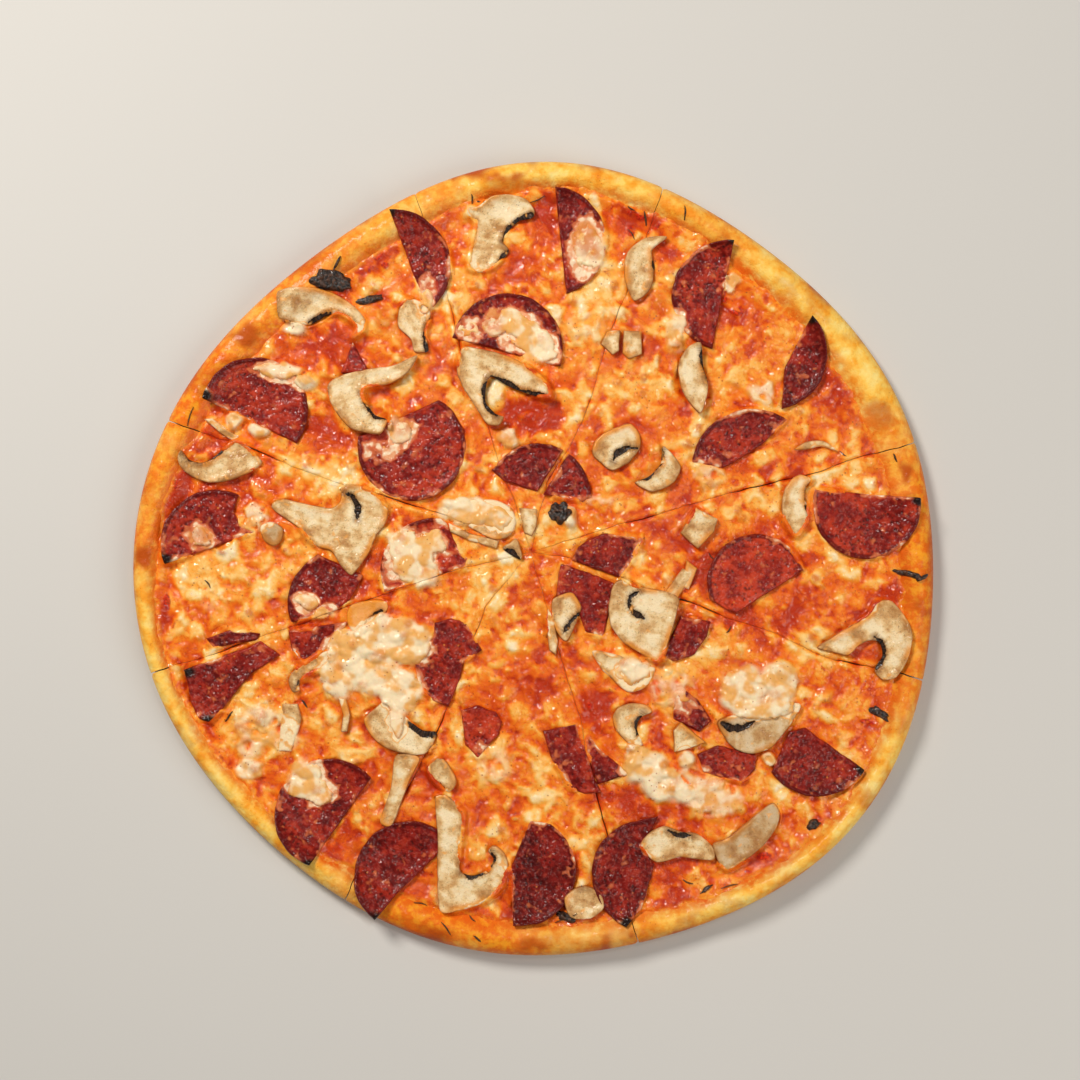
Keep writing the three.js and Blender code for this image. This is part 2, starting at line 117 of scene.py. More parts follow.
def hashed(i, j, seed):
    """A number from 0 to 1 for each whole-number grid cell, by 32-bit multiply and shift."""
    h = i.astype(np.int64) * 374761393 + j.astype(np.int64) * 668265263 + seed * 1442695041
    h &= 0xFFFFFFFF
    h = ((h ^ (h >> 13)) * 1274126177) & 0xFFFFFFFF
    h = ((h ^ (h >> 15)) * 2246822519) & 0xFFFFFFFF
    return ((h ^ (h >> 16)) & 0xFFFFFF) / 0xFFFFFF


def own_number(seed, which):
    """One of a piece's own random numbers, from 0 to 1."""
    return hashed(np.array(seed), np.array(which), 5)


def noise(x, y, size, seed, octaves=1):
    """Smooth seeded noise from -1 to 1, with a lump about every `size` mm."""
    total, weight, share = 0.0, 0.0, 1.0
    for octave in range(octaves):
        u, v = x / size, y / size
        i, j = np.floor(u), np.floor(v)
        fu, fv = smoothstep(0, 1, u - i), smoothstep(0, 1, v - j)
        own = seed + octave
        low, high = (hashed(i, row, own) * (1 - fu) + hashed(i + 1, row, own) * fu
                     for row in (j, j + 1))
        total = total + share * (2 * (low * (1 - fv) + high * fv) - 1)
        weight += share
        share *= 0.5
        size *= 0.5
    return total / weight


def scattered(x, y, size, seed):
    """Distances, in cell sizes, to the two nearest of points scattered one to a cell.

    The third result is the nearest point's own random number.
    """
    u, v = x / size, y / size
    ci, cj = np.floor(u), np.floor(v)
    nearest, second = np.full(np.shape(x), 9.0), np.full(np.shape(x), 9.0)
    number = np.zeros(np.shape(x))
    for di in (-1, 0, 1):
        for dj in (-1, 0, 1):
            i, j = ci + di, cj + dj
            gap = np.hypot(i + hashed(i, j, seed) - u, j + hashed(i, j, seed + 9) - v)
            nearer = gap < nearest
            second = np.where(nearer, nearest, np.minimum(second, gap))
            number = np.where(nearer, hashed(i, j, seed + 17), number)
            nearest = np.where(nearer, gap, nearest)
    return nearest, second, number


def patches(x, y, size, seed):
    """Patches in a net of cracks: how far in each place is, 0 to 1, and its patch's number."""
    nearest, second, number = scattered(x, y, size, seed)
    return smoothstep(0.0, 0.75, second - nearest), number


def turned(x, y, angle):
    """Distances along and across a direction."""
    return (x * math.cos(angle) + y * math.sin(angle), y * math.cos(angle) - x * math.sin(angle))


def rounded(gap, radius):
    """Rises like a quarter circle from 0 at an edge to 1 at a radius in from it."""
    return np.sqrt(np.clip(1 - (1 - np.clip(gap / radius, 0, 1)) ** 2, 0, 1))


def waves(rows, angle):
    return sum(height * np.cos(lobes * angle - math.radians(first))
               for lobes, height, first in rows)


def outline_radius(angle):
    return PIZZA_RADIUS + waves(OUTLINE_WAVES, angle)


def rim_width(angle):
    return RIM_WIDTH + waves(RIM_WAVES, angle)


def rim_share(x, y):
    """0 where the cheese ends and 1 at the pizza's edge."""
    angle = np.arctan2(y, x)
    return (np.hypot(x, y) - outline_radius(angle)) / rim_width(angle) + 1


def rim_profile(share):
    """The crust's smooth top across the rim."""
    inner = BASE_TOP + (RIM_FOOT - BASE_TOP) * smoothstep(-0.55, 0.0, share)
    rise = RIM_FOOT + (RIM_TOP - RIM_FOOT) * np.sin(np.clip(share / CREST, 0, 1) * math.pi / 2)
    fall = np.sqrt(np.clip(1 - ((share - CREST) / (1 - CREST)) ** 2, 0, 1))
    outer = RIM_SIDE + (RIM_TOP - RIM_SIDE) * fall
    return np.where(share < 0, inner, np.where(share < CREST, rise, outer))


def crust_top(x, y):
    share = rim_share(x, y)
    lift = smoothstep(0.02, 0.4, share) * smoothstep(1.0, 0.7, share)
    lumps = 0.8 * noise(x, y, 15, 31) + 0.45 * noise(x, y, 6, 32, 2)
    return rim_profile(share) + lift * (lumps + 0.1 * noise(x, y, 2, 34, 2))


def seat_height(x, y):
    """The surface that toppings lie on: the flat cheese, then up the rim."""
    share = rim_share(x, y)
    return np.interp(share, [-1.1, -0.5, -0.2, 0, 0.25, 0.5, 0.8, 1.0],
                     [SEAT, SEAT + 0.35, SEAT + 1.0, 8.3, 10.3, 11.5, 11.2, 9.6])


# ------------------------------------------------------------------ toppings

def arc_piece(middle, radius, start, end, *corners, **facts):
    """A round slice: the stretch of its round edge that is there, then straight cuts."""
    x, y = to_plan([middle])[0]
    angles = np.radians(np.linspace(start, end, max(8, int((end - start) / 3))))
    arc = np.column_stack([x + radius * np.cos(angles), y + radius * np.sin(angles)])
    outline = np.vstack([arc, to_plan(corners)]) if corners else arc
    return {"outline": outline, "middle": (x, y), "radius": radius, **facts}


def patch(*corners, **facts):
    return {"outline": to_plan(corners), **facts}


def loop(*corners, **facts):
    """A smooth closed curve through the corners, by cubic stretches between them."""
    points = to_plan(corners)
    count = len(points)
    steps = np.linspace(0, 1, 9)[:-1, None]
    stretches = []
    for k in range(count):
        a, b, c, d = (points[(k + shift) % count] for shift in (-1, 0, 1, 2))
        tangent_b, tangent_c = 0.42 * (c - a), 0.42 * (d - b)
        limit = np.hypot(*(c - b))
        for tangent in (tangent_b, tangent_c):
            length = np.hypot(*tangent)
            tangent *= min(1, limit / max(length, 1e-6))
        h1, h2 = 2 * steps**3 - 3 * steps**2 + 1, -2 * steps**3 + 3 * steps**2
        h3, h4 = steps**3 - 2 * steps**2 + steps, steps**3 - steps**2
        stretches.append(h1 * b + h2 * c + h3 * tangent_b + h4 * tangent_c)
    return {"outline": np.vstack(stretches), **facts}


def with_names(kind, whole, bits):
    """Gives each piece of a table its node's name, in the order in which they are made."""
    names = [f"{kind}_{k + 1}" for k in range(len(whole))]
    names += [f"{kind}_bit_{k + 1}" for k in range(len(bits))]
    return dict(zip(names, whole + bits))


# Salami: tips are dried corners that curl up, tone goes from dark to light red, and pits is
# the share of places with a pit. The bits are half buried in the cheese.
SALAMI = with_names("salami", [
    arc_piece((396, 267), 20.5, -55, 96, tips=[(391, 212)], tone=0.35),
    arc_piece((552, 242), 20.1, -75, 87, tone=0.35),
    arc_piece((507, 350), 20.8, -18, 168, tone=0.3),
    arc_piece((726, 297), 20.3, 83, 255, tips=[(733, 243)], tone=0.5, pits=0.75),
    arc_piece((771, 356), 20.3, -80, 45, (784, 368), tips=[(810, 318)], tone=0.3),
    arc_piece((752, 471), 22.9, 56, 172, (722, 469), (760, 446), tone=0.5),
    arc_piece((257, 411), 19.4, -39, 168, tips=[(207, 400)], tone=0.6),
    arc_piece((412, 447), 20.1, 169, 420, tone=0.65),
    arc_piece((538, 497), 19.7, 62, 150, (503, 481), (537, 492), (545, 480), tone=0.35),
    arc_piece((538, 497), 19.7, 0, 55, (550, 483), (543, 495), (583, 502), tone=0.35),
    arc_piece((217, 544), 20.1, 65, 202, (258, 532), (242, 525), (235, 512), tips=[(167, 562)],
        tone=0.55),
    arc_piece((343, 603), 20.1, 116, 201, (335, 611), (351, 600), (364, 575), tone=0.4),
    patch((290, 630), (349, 621), (332, 645), (304, 667), (293, 648), tone=0.6),
    arc_piece((435, 572), 20.1, 83, 202, (465, 567), (470, 558), (460, 551), (447, 524), tone=0.7),
    patch((186, 669), (207, 661), (249, 647), (262, 640), (282, 654), (253, 673), (222, 711),
        (211, 721), (201, 717), (193, 701), tips=[(211, 720), (188, 670)], tone=0.4),
    patch((435, 622), (452, 618), (468, 621), (482, 650), (464, 662), (460, 680), (449, 706),
        (433, 700), (420, 686), (414, 660), (434, 636), tone=0.45),
    patch((571, 560), (578, 547), (591, 538), (607, 533), (645, 537), (632, 560), (620, 578),
        (596, 570), tone=0.3),
    patch((560, 563), (590, 573), (615, 583), (610, 606), (603, 637), (585, 631), (573, 596),
        (556, 597), tone=0.6),
    arc_piece((755, 583), 18.2, 15, 200, (725, 609), (735, 613), tone=1.0),
    arc_piece((864, 506), 19.7, 162, 368, tips=[(915, 499)], tone=0.6),
    patch((680, 616), (710, 621), (706, 636), (694, 654), (676, 661), (659, 658), tone=0.4),
    patch((461, 709), (478, 704), (496, 711), (502, 720), (499, 733), (478, 757), (466, 744),
        tone=0.8),
    patch((543, 730), (576, 722), (584, 744), (594, 776), (601, 791), (584, 792), (570, 788),
        (550, 755), tone=0.5),
    patch((582, 726), (604, 751), (629, 773), (597, 783), (586, 752), tone=0.2),
    arc_piece((815, 741), 20.1, 213, 330, (804, 727), (788, 730), tips=[(862, 768)], tone=0.3),
    arc_piece((331, 811), 20.1, 40, 250, tips=[(313, 861)], tone=0.35),
    arc_piece((410, 873), 20.1, 55, 232, (402, 887), (441, 850), tips=[(379, 914)], tone=0.35),
    arc_piece((522, 868), 20.1, -75, 60, (530, 818), (511, 865), (513, 922), tone=0.05),
    arc_piece((645, 872), 20.1, 105, 248, (641, 906), (654, 862), (642, 845), (658, 814),
        tips=[(625, 922)], tone=0.25),
], bits=[
    patch((675, 692), (685, 690), (696, 698), (711, 720), (698, 731), (672, 718)),
    patch((696, 753), (716, 744), (755, 754), (754, 768), (740, 781), (702, 771)),
    patch((208, 638), (232, 629), (262, 633), (258, 640), (232, 644), (215, 648)),
    patch((353, 343), (370, 373), (341, 374)),
])

# Mushrooms: gills are dark grooves along lines, lift and sink set a piece higher or lower than
# the cheese, and tan and amber are how browned and how oily it is.
MUSHROOMS = with_names("mushroom", [
    loop((492, 198), (510, 196), (526, 200), (535, 211), (532, 219), (519, 222), (508, 232),
        (503, 242), (509, 251), (500, 263), (490, 271), (478, 274), (468, 268), (471, 243),
        (475, 224), (467, 216), (468, 209), (477, 208), gills=[[(531, 216), (519, 222), (510, 229),
        (503, 242)], [(510, 250), (499, 265)]]),
    loop((667, 238), (655, 237), (642, 240), (628, 252), (624, 268), (625, 283), (634, 302),
        (650, 290), (654, 270), (652, 251), gills=[[(655, 252), (655, 273)]]),
    loop((280, 294), (292, 290), (319, 290), (336, 295), (353, 306), (365, 319), (365, 331),
        (352, 339), (357, 328), (349, 320), (337, 314), (325, 318), (310, 326), (295, 324),
        (281, 320), (279, 306), gills=[[(311, 324), (325, 317), (337, 313), (350, 320),
        (358, 328)]]),
    loop((329, 385), (343, 376), (370, 370), (395, 366), (418, 356), (409, 373), (393, 384),
        (366, 390), (367, 403), (376, 416), (388, 421), (382, 434), (368, 434), (353, 430),
        (339, 416), (331, 401), lift=PILE_LIFT, gills=[[(362, 392), (367, 406), (376, 417),
        (388, 420)]]),
    loop((463, 349), (480, 350), (498, 354), (521, 363), (541, 378), (551, 390), (549, 399),
        (528, 395), (508, 387), (492, 378), (487, 385), (486, 403), (495, 414), (504, 418),
        (499, 426), (487, 425), (477, 410), (464, 389), (457, 370), lift=PILE_LIFT,
        gills=[[(489, 379), (485, 391), (488, 407), (497, 416)], [(492, 378), (519, 391),
        (549, 399)]]),
    loop((700, 344), (689, 347), (680, 358), (677, 371), (680, 387), (686, 401), (699, 414),
        (705, 400), (707, 385), (702, 365), lift=PILE_LIFT, gills=[[(700, 349), (702, 363),
        (707, 382)]]),
    loop((592, 454), (594, 443), (603, 434), (618, 427), (630, 424), (639, 434), (640, 448),
        (628, 463), (612, 471), (600, 463), gills=[[(612, 463), (616, 454), (627, 448),
        (637, 449)]]),
    loop((799, 475), (790, 480), (783, 491), (780, 507), (783, 522), (793, 537), (803, 528),
        (808, 515), (804, 500), (805, 487), (811, 480), gills=[[(811, 482), (806, 489), (806, 503),
        (809, 516)]]),
    loop((184, 451), (180, 459), (183, 468), (195, 478), (211, 483), (231, 481), (249, 474),
        (263, 463), (251, 448), (238, 440), (227, 447), (215, 458), (202, 463), (191, 460),
        gills=[[(185, 452), (192, 460), (203, 462), (215, 457), (226, 447)]]),
    loop((273, 508), (278, 498), (298, 502), (317, 506), (333, 508), (341, 501), (342, 490),
        (350, 485), (364, 487), (380, 496), (389, 509), (387, 523), (378, 535), (371, 551),
        (361, 566), (352, 575), (342, 566), (332, 551), (317, 546), (299, 528), (285, 518),
        gills=[[(344, 493), (353, 496), (359, 507), (358, 519)]]),
    loop((610, 594), (613, 584), (622, 579), (638, 586), (664, 591), (678, 598), (676, 611),
        (670, 634), (658, 660), (640, 653), (621, 640), (610, 624), (608, 608), lift=PILE_LIFT,
        gills=[[(640, 590), (630, 596), (628, 604), (633, 612), (643, 618)]]),
    loop((815, 647), (831, 636), (849, 625), (866, 615), (873, 603), (888, 600), (901, 615),
        (908, 634), (904, 658), (892, 677), (880, 679), (872, 669), (880, 655), (877, 642),
        (868, 640), (857, 645), (846, 655), (831, 652), gills=[[(872, 636), (880, 643), (881, 655),
        (874, 668)]]),
    loop((717, 720), (721, 733), (730, 745), (741, 751), (755, 752), (770, 746), (783, 731),
        (793, 717), (799, 703), (780, 702), (760, 706), (738, 712), gills=[[(721, 722), (729, 727),
        (741, 727), (753, 720)]], tan=0.35),
    loop((365, 718), (376, 707), (388, 698), (398, 708), (409, 718), (423, 729), (437, 731),
        (434, 743), (425, 753), (408, 753), (386, 746), (371, 733), gills=[[(388, 699), (398, 710),
        (409, 719), (423, 731), (435, 734)]], gill_width=2.6),
    loop((436, 795), (446, 793), (456, 801), (465, 812), (464, 832), (461, 850), (461, 868),
        (473, 873), (487, 868), (494, 857), (488, 849), (494, 843), (504, 850), (508, 864),
        (505, 879), (494, 893), (476, 903), (459, 907), (441, 907), (438, 870), (438, 834),
        gills=[[(461, 869), (472, 874), (486, 868), (494, 857), (491, 848)]]),
], bits=[
    loop((399, 311), (406, 299), (422, 303), (431, 315), (426, 335), (429, 352), (415, 353),
        (411, 340), (399, 328), gills=[[(430, 320), (425, 337), (427, 350), (431, 359)]]),
    patch((601, 345), (606, 332), (620, 331), (619, 352), (612, 356)),
    patch((623, 331), (641, 332), (642, 355), (628, 360), (622, 354)),
    loop((662, 446), (672, 455), (680, 468), (675, 481), (664, 489), (650, 492), (634, 483),
        (648, 477), (660, 464), gills=[[(662, 447), (660, 462), (646, 477), (634, 480)]]),
    patch((695, 508), (717, 519), (713, 532), (697, 549), (679, 533)),
    patch((682, 568), (693, 573), (675, 602), (662, 594), sink=0.7),
    loop((441, 508), (470, 500), (496, 500), (512, 509), (516, 522), (510, 536), (494, 540),
        (467, 526), (451, 518), sink=0.7),
    loop((551, 601), (562, 594), (573, 593), (581, 606), (578, 618), (567, 641), (557, 633),
        (551, 615), gills=[[(580, 612), (571, 620), (563, 633)]]),
    loop((592, 650), (601, 668), (613, 680), (628, 691), (645, 686), (655, 668), (640, 664),
        (620, 655), sink=0.3),
    loop((612, 716), (619, 706), (632, 702), (646, 704), (651, 711), (640, 717), (636, 728),
        (642, 744), (628, 742), (616, 730), gills=[[(643, 711), (636, 722), (639, 736),
        (650, 748)]]),
    patch((672, 729), (680, 721), (705, 741), (690, 747), (673, 751)),
    loop((396, 755), (412, 752), (421, 758), (410, 780), (393, 824), (381, 820), (392, 785),
        sink=0.4),
    loop((428, 765), (438, 755), (449, 763), (457, 780), (449, 790), (434, 780), gills=[[(414, 768),
        (434, 780), (448, 790)]]),
    loop((330, 650), (315, 656), (297, 668), (290, 679), (294, 691), (301, 690), (301, 682),
        (310, 675), (324, 668), (331, 661), gills=[[(298, 688), (301, 682), (310, 675),
        (322, 670)]]),
    loop((348, 611), (353, 604), (371, 600), (388, 601), (389, 609), (374, 621), (360, 637),
        (349, 624), amber=0.8, gills=[[(382, 611), (370, 622), (362, 635)]]),
    patch((284, 703), (299, 703), (303, 717), (299, 734), (293, 750), (280, 750), sink=0.3),
    loop((564, 895), (578, 884), (590, 884), (601, 893), (603, 905), (590, 915), (570, 914),
        gills=[[(581, 884), (587, 868), (592, 858)], [(588, 885), (594, 870)]]),
    loop((640, 844), (648, 831), (664, 824), (680, 830), (694, 831), (711, 844), (713, 857),
        (697, 857), (679, 855), (655, 860), gills=[[(667, 828), (676, 833), (692, 833)]]),
    loop((711, 843), (725, 836), (742, 823), (760, 808), (772, 801), (778, 813), (773, 829),
        (759, 846), (738, 861), (722, 867), tan=0.45),
    patch((686, 560), (697, 568), (688, 590), (680, 586), sink=0.8),
    patch((544, 604), (550, 603), (558, 640), (556, 655), (549, 650)),
    patch((519, 508), (537, 509), (537, 526), (532, 537), (524, 533), sink=0.3),
    loop((503, 549), (510, 543), (517, 539), (522, 553), (520, 560), gills=[[(502, 549), (511, 552),
        (519, 560)]]),
    patch((340, 697), (347, 697), (352, 714), (349, 731), (342, 731), (344, 714)),
    loop((793, 450), (806, 442), (823, 442), (837, 452), (820, 447), (806, 450), sink=0.4),
    patch((206, 420), (214, 419), (240, 437), (236, 443), (222, 434), sink=0.5),
    loop((262, 527), (272, 522), (284, 528), (283, 540), (275, 546), (265, 540), tan=0.5, sink=0.2),
    patch((449, 523), (470, 533), (499, 541), (497, 549), (470, 541), (450, 532), sink=0.5),
])

# Baked black: [place, length and width in mm, direction in degrees, height].
CHARRED = [
    ((332, 282), 15, 7.5, -8, 2.6), ((338, 266), 6, 1.0, 62, 1.6), ((370, 300), 11, 3.0, 14, 1.4),
    ((905, 574), 11, 2.2, -14, 1.8), ((918, 578), 5, 1.6, 24, 1.6), ((559, 513), 8.5, 8.0, 30, 2.4),
    ((877, 712), 8, 3.4, -30, 1.6), ((811, 823), 6, 3.0, 28, 1.6), ((565, 914), 7, 3.2, -20, 1.5),
    ((705, 886), 4, 1.4, 35, 1.2),
]

# Dried herb flakes and twigs: [start, end].
HERBS = [
    ((190, 427), (196, 408)), ((471, 196), (473, 205)), ((477, 203), (484, 203)),
    ((530, 203), (545, 196)), ((628, 206), (634, 212)), ((645, 212), (645, 226)),
    ((628, 229), (634, 240)), ((683, 208), (684, 222)), ((890, 455), (895, 462)),
    ((708, 553), (714, 559)), ((725, 632), (731, 626)), ((226, 720), (235, 711)),
    ((415, 899), (428, 903)), ((442, 918), (452, 930)), ((474, 932), (482, 936)),
    ((555, 920), (576, 909)), ((682, 877), (692, 882)), ((698, 890), (712, 883)),
    ((719, 885), (736, 882)), ((206, 580), (212, 588)), ((302, 700), (309, 706)),
    ((838, 452), (846, 456)), ((470, 912), (476, 918)),
]


# --------------------------------------------------------- cheese and sauce

# Soft pools of white cheese: [place, half width, half height in mm, amount].
POOLS = [
    (352, 655, 9, 10, 1.0), (385, 640, 12, 9, 1.0), (410, 642, 8, 8, 1.0), (375, 672, 13, 9, 0.8),
    (403, 690, 7, 10, 0.9), (340, 675, 8, 8, 0.9), (398, 722, 3.5, 6, 0.7), (372, 652, 9, 8, 1.0),
    (745, 688, 10, 7, 1.0), (775, 686, 8, 8, 1.0), (762, 704, 12, 5, 1.0), (735, 702, 6, 5, 0.9),
    (645, 767, 8, 7, 0.95), (662, 783, 9, 6, 0.95), (681, 789, 6, 4, 0.8), (636, 752, 5, 5, 0.8),
    (705, 795, 9, 8, 0.65), (726, 800, 6, 5, 0.6), (697, 778, 6, 5, 0.6), (306, 776, 6.5, 7, 0.85),
    (320, 790, 6, 5, 0.7), (262, 722, 10, 8, 0.6), (285, 735, 6, 7, 0.6), (250, 742, 6, 6, 0.55),
    (252, 765, 6, 4, 0.8), (535, 343, 8, 5, 0.95), (522, 331, 7, 5, 0.9), (546, 355, 5, 4, 0.8),
    (512, 322, 6, 5, 0.8), (495, 324, 5, 4.5, 0.7), (519, 343, 7, 4.5, 0.6), (412, 560, 9, 8, 0.9),
    (400, 545, 6, 7, 0.8), (420, 573, 8, 5, 0.85), (432, 545, 6, 6, 0.65), (468, 511, 11, 6.2, 0.9),
    (497, 518, 7, 5, 0.75), (766, 757, 2.6, 2.6, 0.9), (686, 760, 3.2, 3.8, 0.9),
    (400, 432, 5.5, 5, 0.7), (282, 372, 9, 3.2, 0.8), (268, 366, 5, 2.4, 0.8),
    (303, 384, 4, 3.4, 0.75), (587, 249, 6.6, 10, 0.78), (202, 537, 4.6, 4.8, 0.72),
    (306, 602, 4.4, 3.2, 0.85), (325, 612, 4, 3, 0.7), (508, 438, 4.5, 3.5, 0.75),
    (759, 392, 5, 5, 0.6), (733, 284, 3, 3.5, 0.7), (234, 420, 3.5, 2.5, 0.9),
    (259, 432, 3.5, 2.5, 0.9), (572, 517, 2.5, 3.5, 0.9), (293, 332, 5, 3, 0.8),
    (425, 300, 3.5, 7, 0.6), (494, 765, 8, 8, 0.45), (672, 687, 9, 9, 0.5), (707, 476, 7, 5.5, 0.5),
    (382, 448, 7, 4, 0.45), (560, 800, 4, 3, 0.4), (612, 318, 7, 5, 0.45), (600, 500, 6, 3, 0.45),
    (218, 600, 7, 5, 0.35), (632, 672, 7, 5, 0.8), (675, 331, 4, 8, 0.66), (257, 519, 6, 5, 0.62),
    (585, 330, 6, 6, 0.5), (470, 330, 5, 5, 0.5),
]

# Where red sauce shows through thin cheese: [place, half width, half height in mm, amount].
SAUCE = [
    (365, 260, 7, 6, 0.9), (440, 215, 8, 4, 0.9), (640, 218, 11, 6, 0.9), (178, 470, 5, 12, 0.9),
    (208, 436, 8, 5, 0.9), (730, 312, 7, 5, 0.7), (840, 385, 9, 7, 0.6), (790, 617, 5, 6, 0.8),
    (595, 705, 7, 6, 0.9), (532, 690, 6, 5, 0.7), (615, 792, 11, 4, 0.6), (665, 870, 8, 5, 0.35),
    (762, 853, 9, 6, 0.25), (907, 560, 4, 6, 0.8), (480, 918, 32, 5, 0.75), (325, 868, 8, 7, 0.8),
    (165, 520, 5, 22, 0.6), (168, 600, 4, 14, 0.6), (882, 450, 7, 3, 0.8), (861, 724, 7, 4, 0.6),
    (530, 415, 14, 6, 0.9), (340, 350, 8, 7, 0.7), (395, 225, 5, 9, 0.6), (455, 250, 6, 8, 0.5),
    (545, 215, 6, 8, 0.8), (690, 545, 6, 14, 0.6), (700, 565, 7, 6, 0.7), (720, 620, 12, 3, 0.6),
    (650, 815, 8, 5, 0.4), (735, 745, 8, 5, 0.5), (870, 640, 9, 12, 0.45), (830, 590, 24, 14, 0.15),
    (795, 620, 20, 8, 0.2), (430, 790, 6, 8, 0.5), (355, 780, 7, 8, 0.5), (460, 780, 5, 12, 0.4),
    (310, 440, 10, 8, 0.4), (250, 600, 9, 8, 0.3), (340, 540, 6, 6, 0.5), (560, 880, 6, 12, 0.6),
    (610, 850, 5, 8, 0.4), (690, 400, 7, 7, 0.4), (780, 470, 14, 6, 0.35), (655, 520, 10, 5, 0.4),
    (590, 400, 8, 10, 0.3), (560, 660, 9, 10, 0.3), (510, 590, 7, 8, 0.2), (820, 690, 12, 8, 0.2),
]

# Lumps of red tomato, mostly where the cheese ends: [place, half width, half height in mm, amount].
TOMATO = [
    (375, 256, 2.6, 2.0, 0.9), (384, 266, 2.0, 1.4, 0.8), (370, 270, 1.6, 1.6, 0.8),
    (636, 214, 3.4, 1.8, 0.9), (655, 226, 2.6, 2.0, 0.8), (630, 230, 1.8, 2.4, 0.8),
    (686, 201, 2.6, 1.4, 0.9), (708, 207, 2.4, 1.6, 0.8), (737, 310, 2.8, 2.0, 0.9),
    (728, 300, 1.6, 1.6, 0.7), (888, 549, 2.2, 1.8, 0.9), (908, 562, 2.6, 1.6, 0.9),
    (865, 721, 3.0, 1.4, 0.9), (176, 486, 1.6, 3.0, 0.8), (171, 505, 1.4, 2.4, 0.8),
    (206, 432, 2.2, 1.6, 0.7), (168, 604, 1.4, 3.0, 0.8), (176, 626, 1.6, 2.0, 0.7),
    (444, 213, 2.6, 1.2, 0.8), (594, 704, 2.4, 1.8, 0.8), (530, 414, 4.0, 2.0, 0.5),
    (546, 424, 2.4, 1.6, 0.6), (764, 852, 3.0, 1.4, 0.8), (748, 868, 2.4, 1.0, 0.7),
    (330, 868, 2.2, 1.8, 0.7), (232, 690, 1.2, 1.8, 0.6), (612, 790, 3.0, 1.0, 0.7),
    (882, 452, 1.8, 1.0, 0.8), (484, 916, 3.0, 1.0, 0.7), (456, 922, 2.4, 1.0, 0.6),
    (222, 760, 1.2, 2.0, 0.6), (818, 668, 2.0, 1.4, 0.6),
]

# Broad paler areas of the melted cheese.
PALE = [
    (455, 290, 9, 16, 0.9), (600, 300, 12, 12, 1.0), (575, 330, 8, 8, 0.8), (590, 410, 12, 9, 1.0),
    (640, 390, 11, 9, 0.9), (545, 440, 8, 5, 0.7), (700, 440, 11, 7, 0.8), (745, 500, 10, 5, 0.6),
    (300, 385, 8, 6, 0.6), (325, 475, 16, 7, 0.8), (215, 595, 17, 11, 0.9), (270, 575, 8, 8, 0.7),
    (480, 595, 14, 10, 0.9), (510, 640, 12, 12, 0.8), (480, 660, 8, 8, 0.7), (545, 830, 7, 12, 0.8),
    (700, 650, 16, 8, 0.9), (850, 480, 14, 5, 0.7), (850, 555, 14, 8, 0.45), (800, 690, 9, 12, 0.5),
    (430, 490, 10, 5, 0.7), (240, 700, 9, 10, 0.6), (610, 480, 12, 5, 0.5), (760, 420, 12, 6, 0.6),
    (470, 330, 6, 5, 0.6), (420, 280, 5, 9, 0.6), (330, 745, 7, 9, 0.6), (540, 770, 6, 8, 0.7),
    (680, 330, 8, 12, 0.6), (500, 570, 10, 6, 0.6), (630, 830, 6, 5, 0.7), (585, 835, 7, 9, 0.7),
    (350, 460, 8, 5, 0.6), (290, 325, 6, 5, 0.7), (220, 425, 6, 4, 0.5), (640, 240, 3, 3, 0.5),
    (567, 345, 6, 9, 1.0), (615, 375, 9, 6, 0.9), (600, 408, 7, 4, 1.0), (830, 640, 12, 9, 0.5),
    (830, 420, 9, 7, 0.5), (860, 790, 8, 5, 0.6), (800, 830, 8, 4, 0.6), (300, 560, 6, 8, 0.6),
    (455, 745, 7, 8, 0.6), (380, 790, 6, 8, 0.5), (330, 740, 10, 6, 0.6), (650, 560, 6, 8, 0.4),
]

# Lumps of cheese that browned on top.
TOASTED = [
    (402, 425, 4.6, 4.2, 0.9), (585, 241, 5.2, 7, 0.9), (494, 319, 4, 4, 0.9),
    (386, 320, 5, 4, 0.7), (600, 620, 3, 3, 0.4), (350, 700, 3, 3, 0.7), (380, 655, 2.5, 2.5, 0.6),
    (258, 715, 2.2, 2.2, 0.8), (246, 728, 2.2, 2.2, 0.7), (652, 602, 3.2, 3.8, 0.6),
    (202, 538, 5, 5, 0.8), (310, 610, 3, 2.5, 0.5), (735, 660, 5, 4, 0.5), (770, 695, 4, 3, 0.5),
    (660, 300, 4, 4, 0.5), (640, 335, 4, 4, 0.5), (870, 420, 6, 6, 0.6), (880, 470, 5, 5, 0.4),
    (247, 338, 9, 7, 0.7), (430, 215, 8, 4, 0.4), (505, 440, 3.5, 3, 0.5), (530, 585, 3, 3, 0.4),
    (440, 760, 3, 3, 0.4), (690, 700, 4, 3, 0.4),
]


def blobs(x, y, rows, softness):
    """The strongest of the listed soft ellipses at each place, from 0 to 1."""
    total = np.zeros(np.shape(x))
    centres = to_plan([row[:2] for row in rows])
    for (cx, cy), (_, _, half_width, half_height, amount) in zip(centres, rows):
        reach = np.hypot((x - cx) / half_width, (y - cy) / half_height)
        total = np.maximum(total, amount * smoothstep(1 + softness, 1 - softness, reach))
    return total


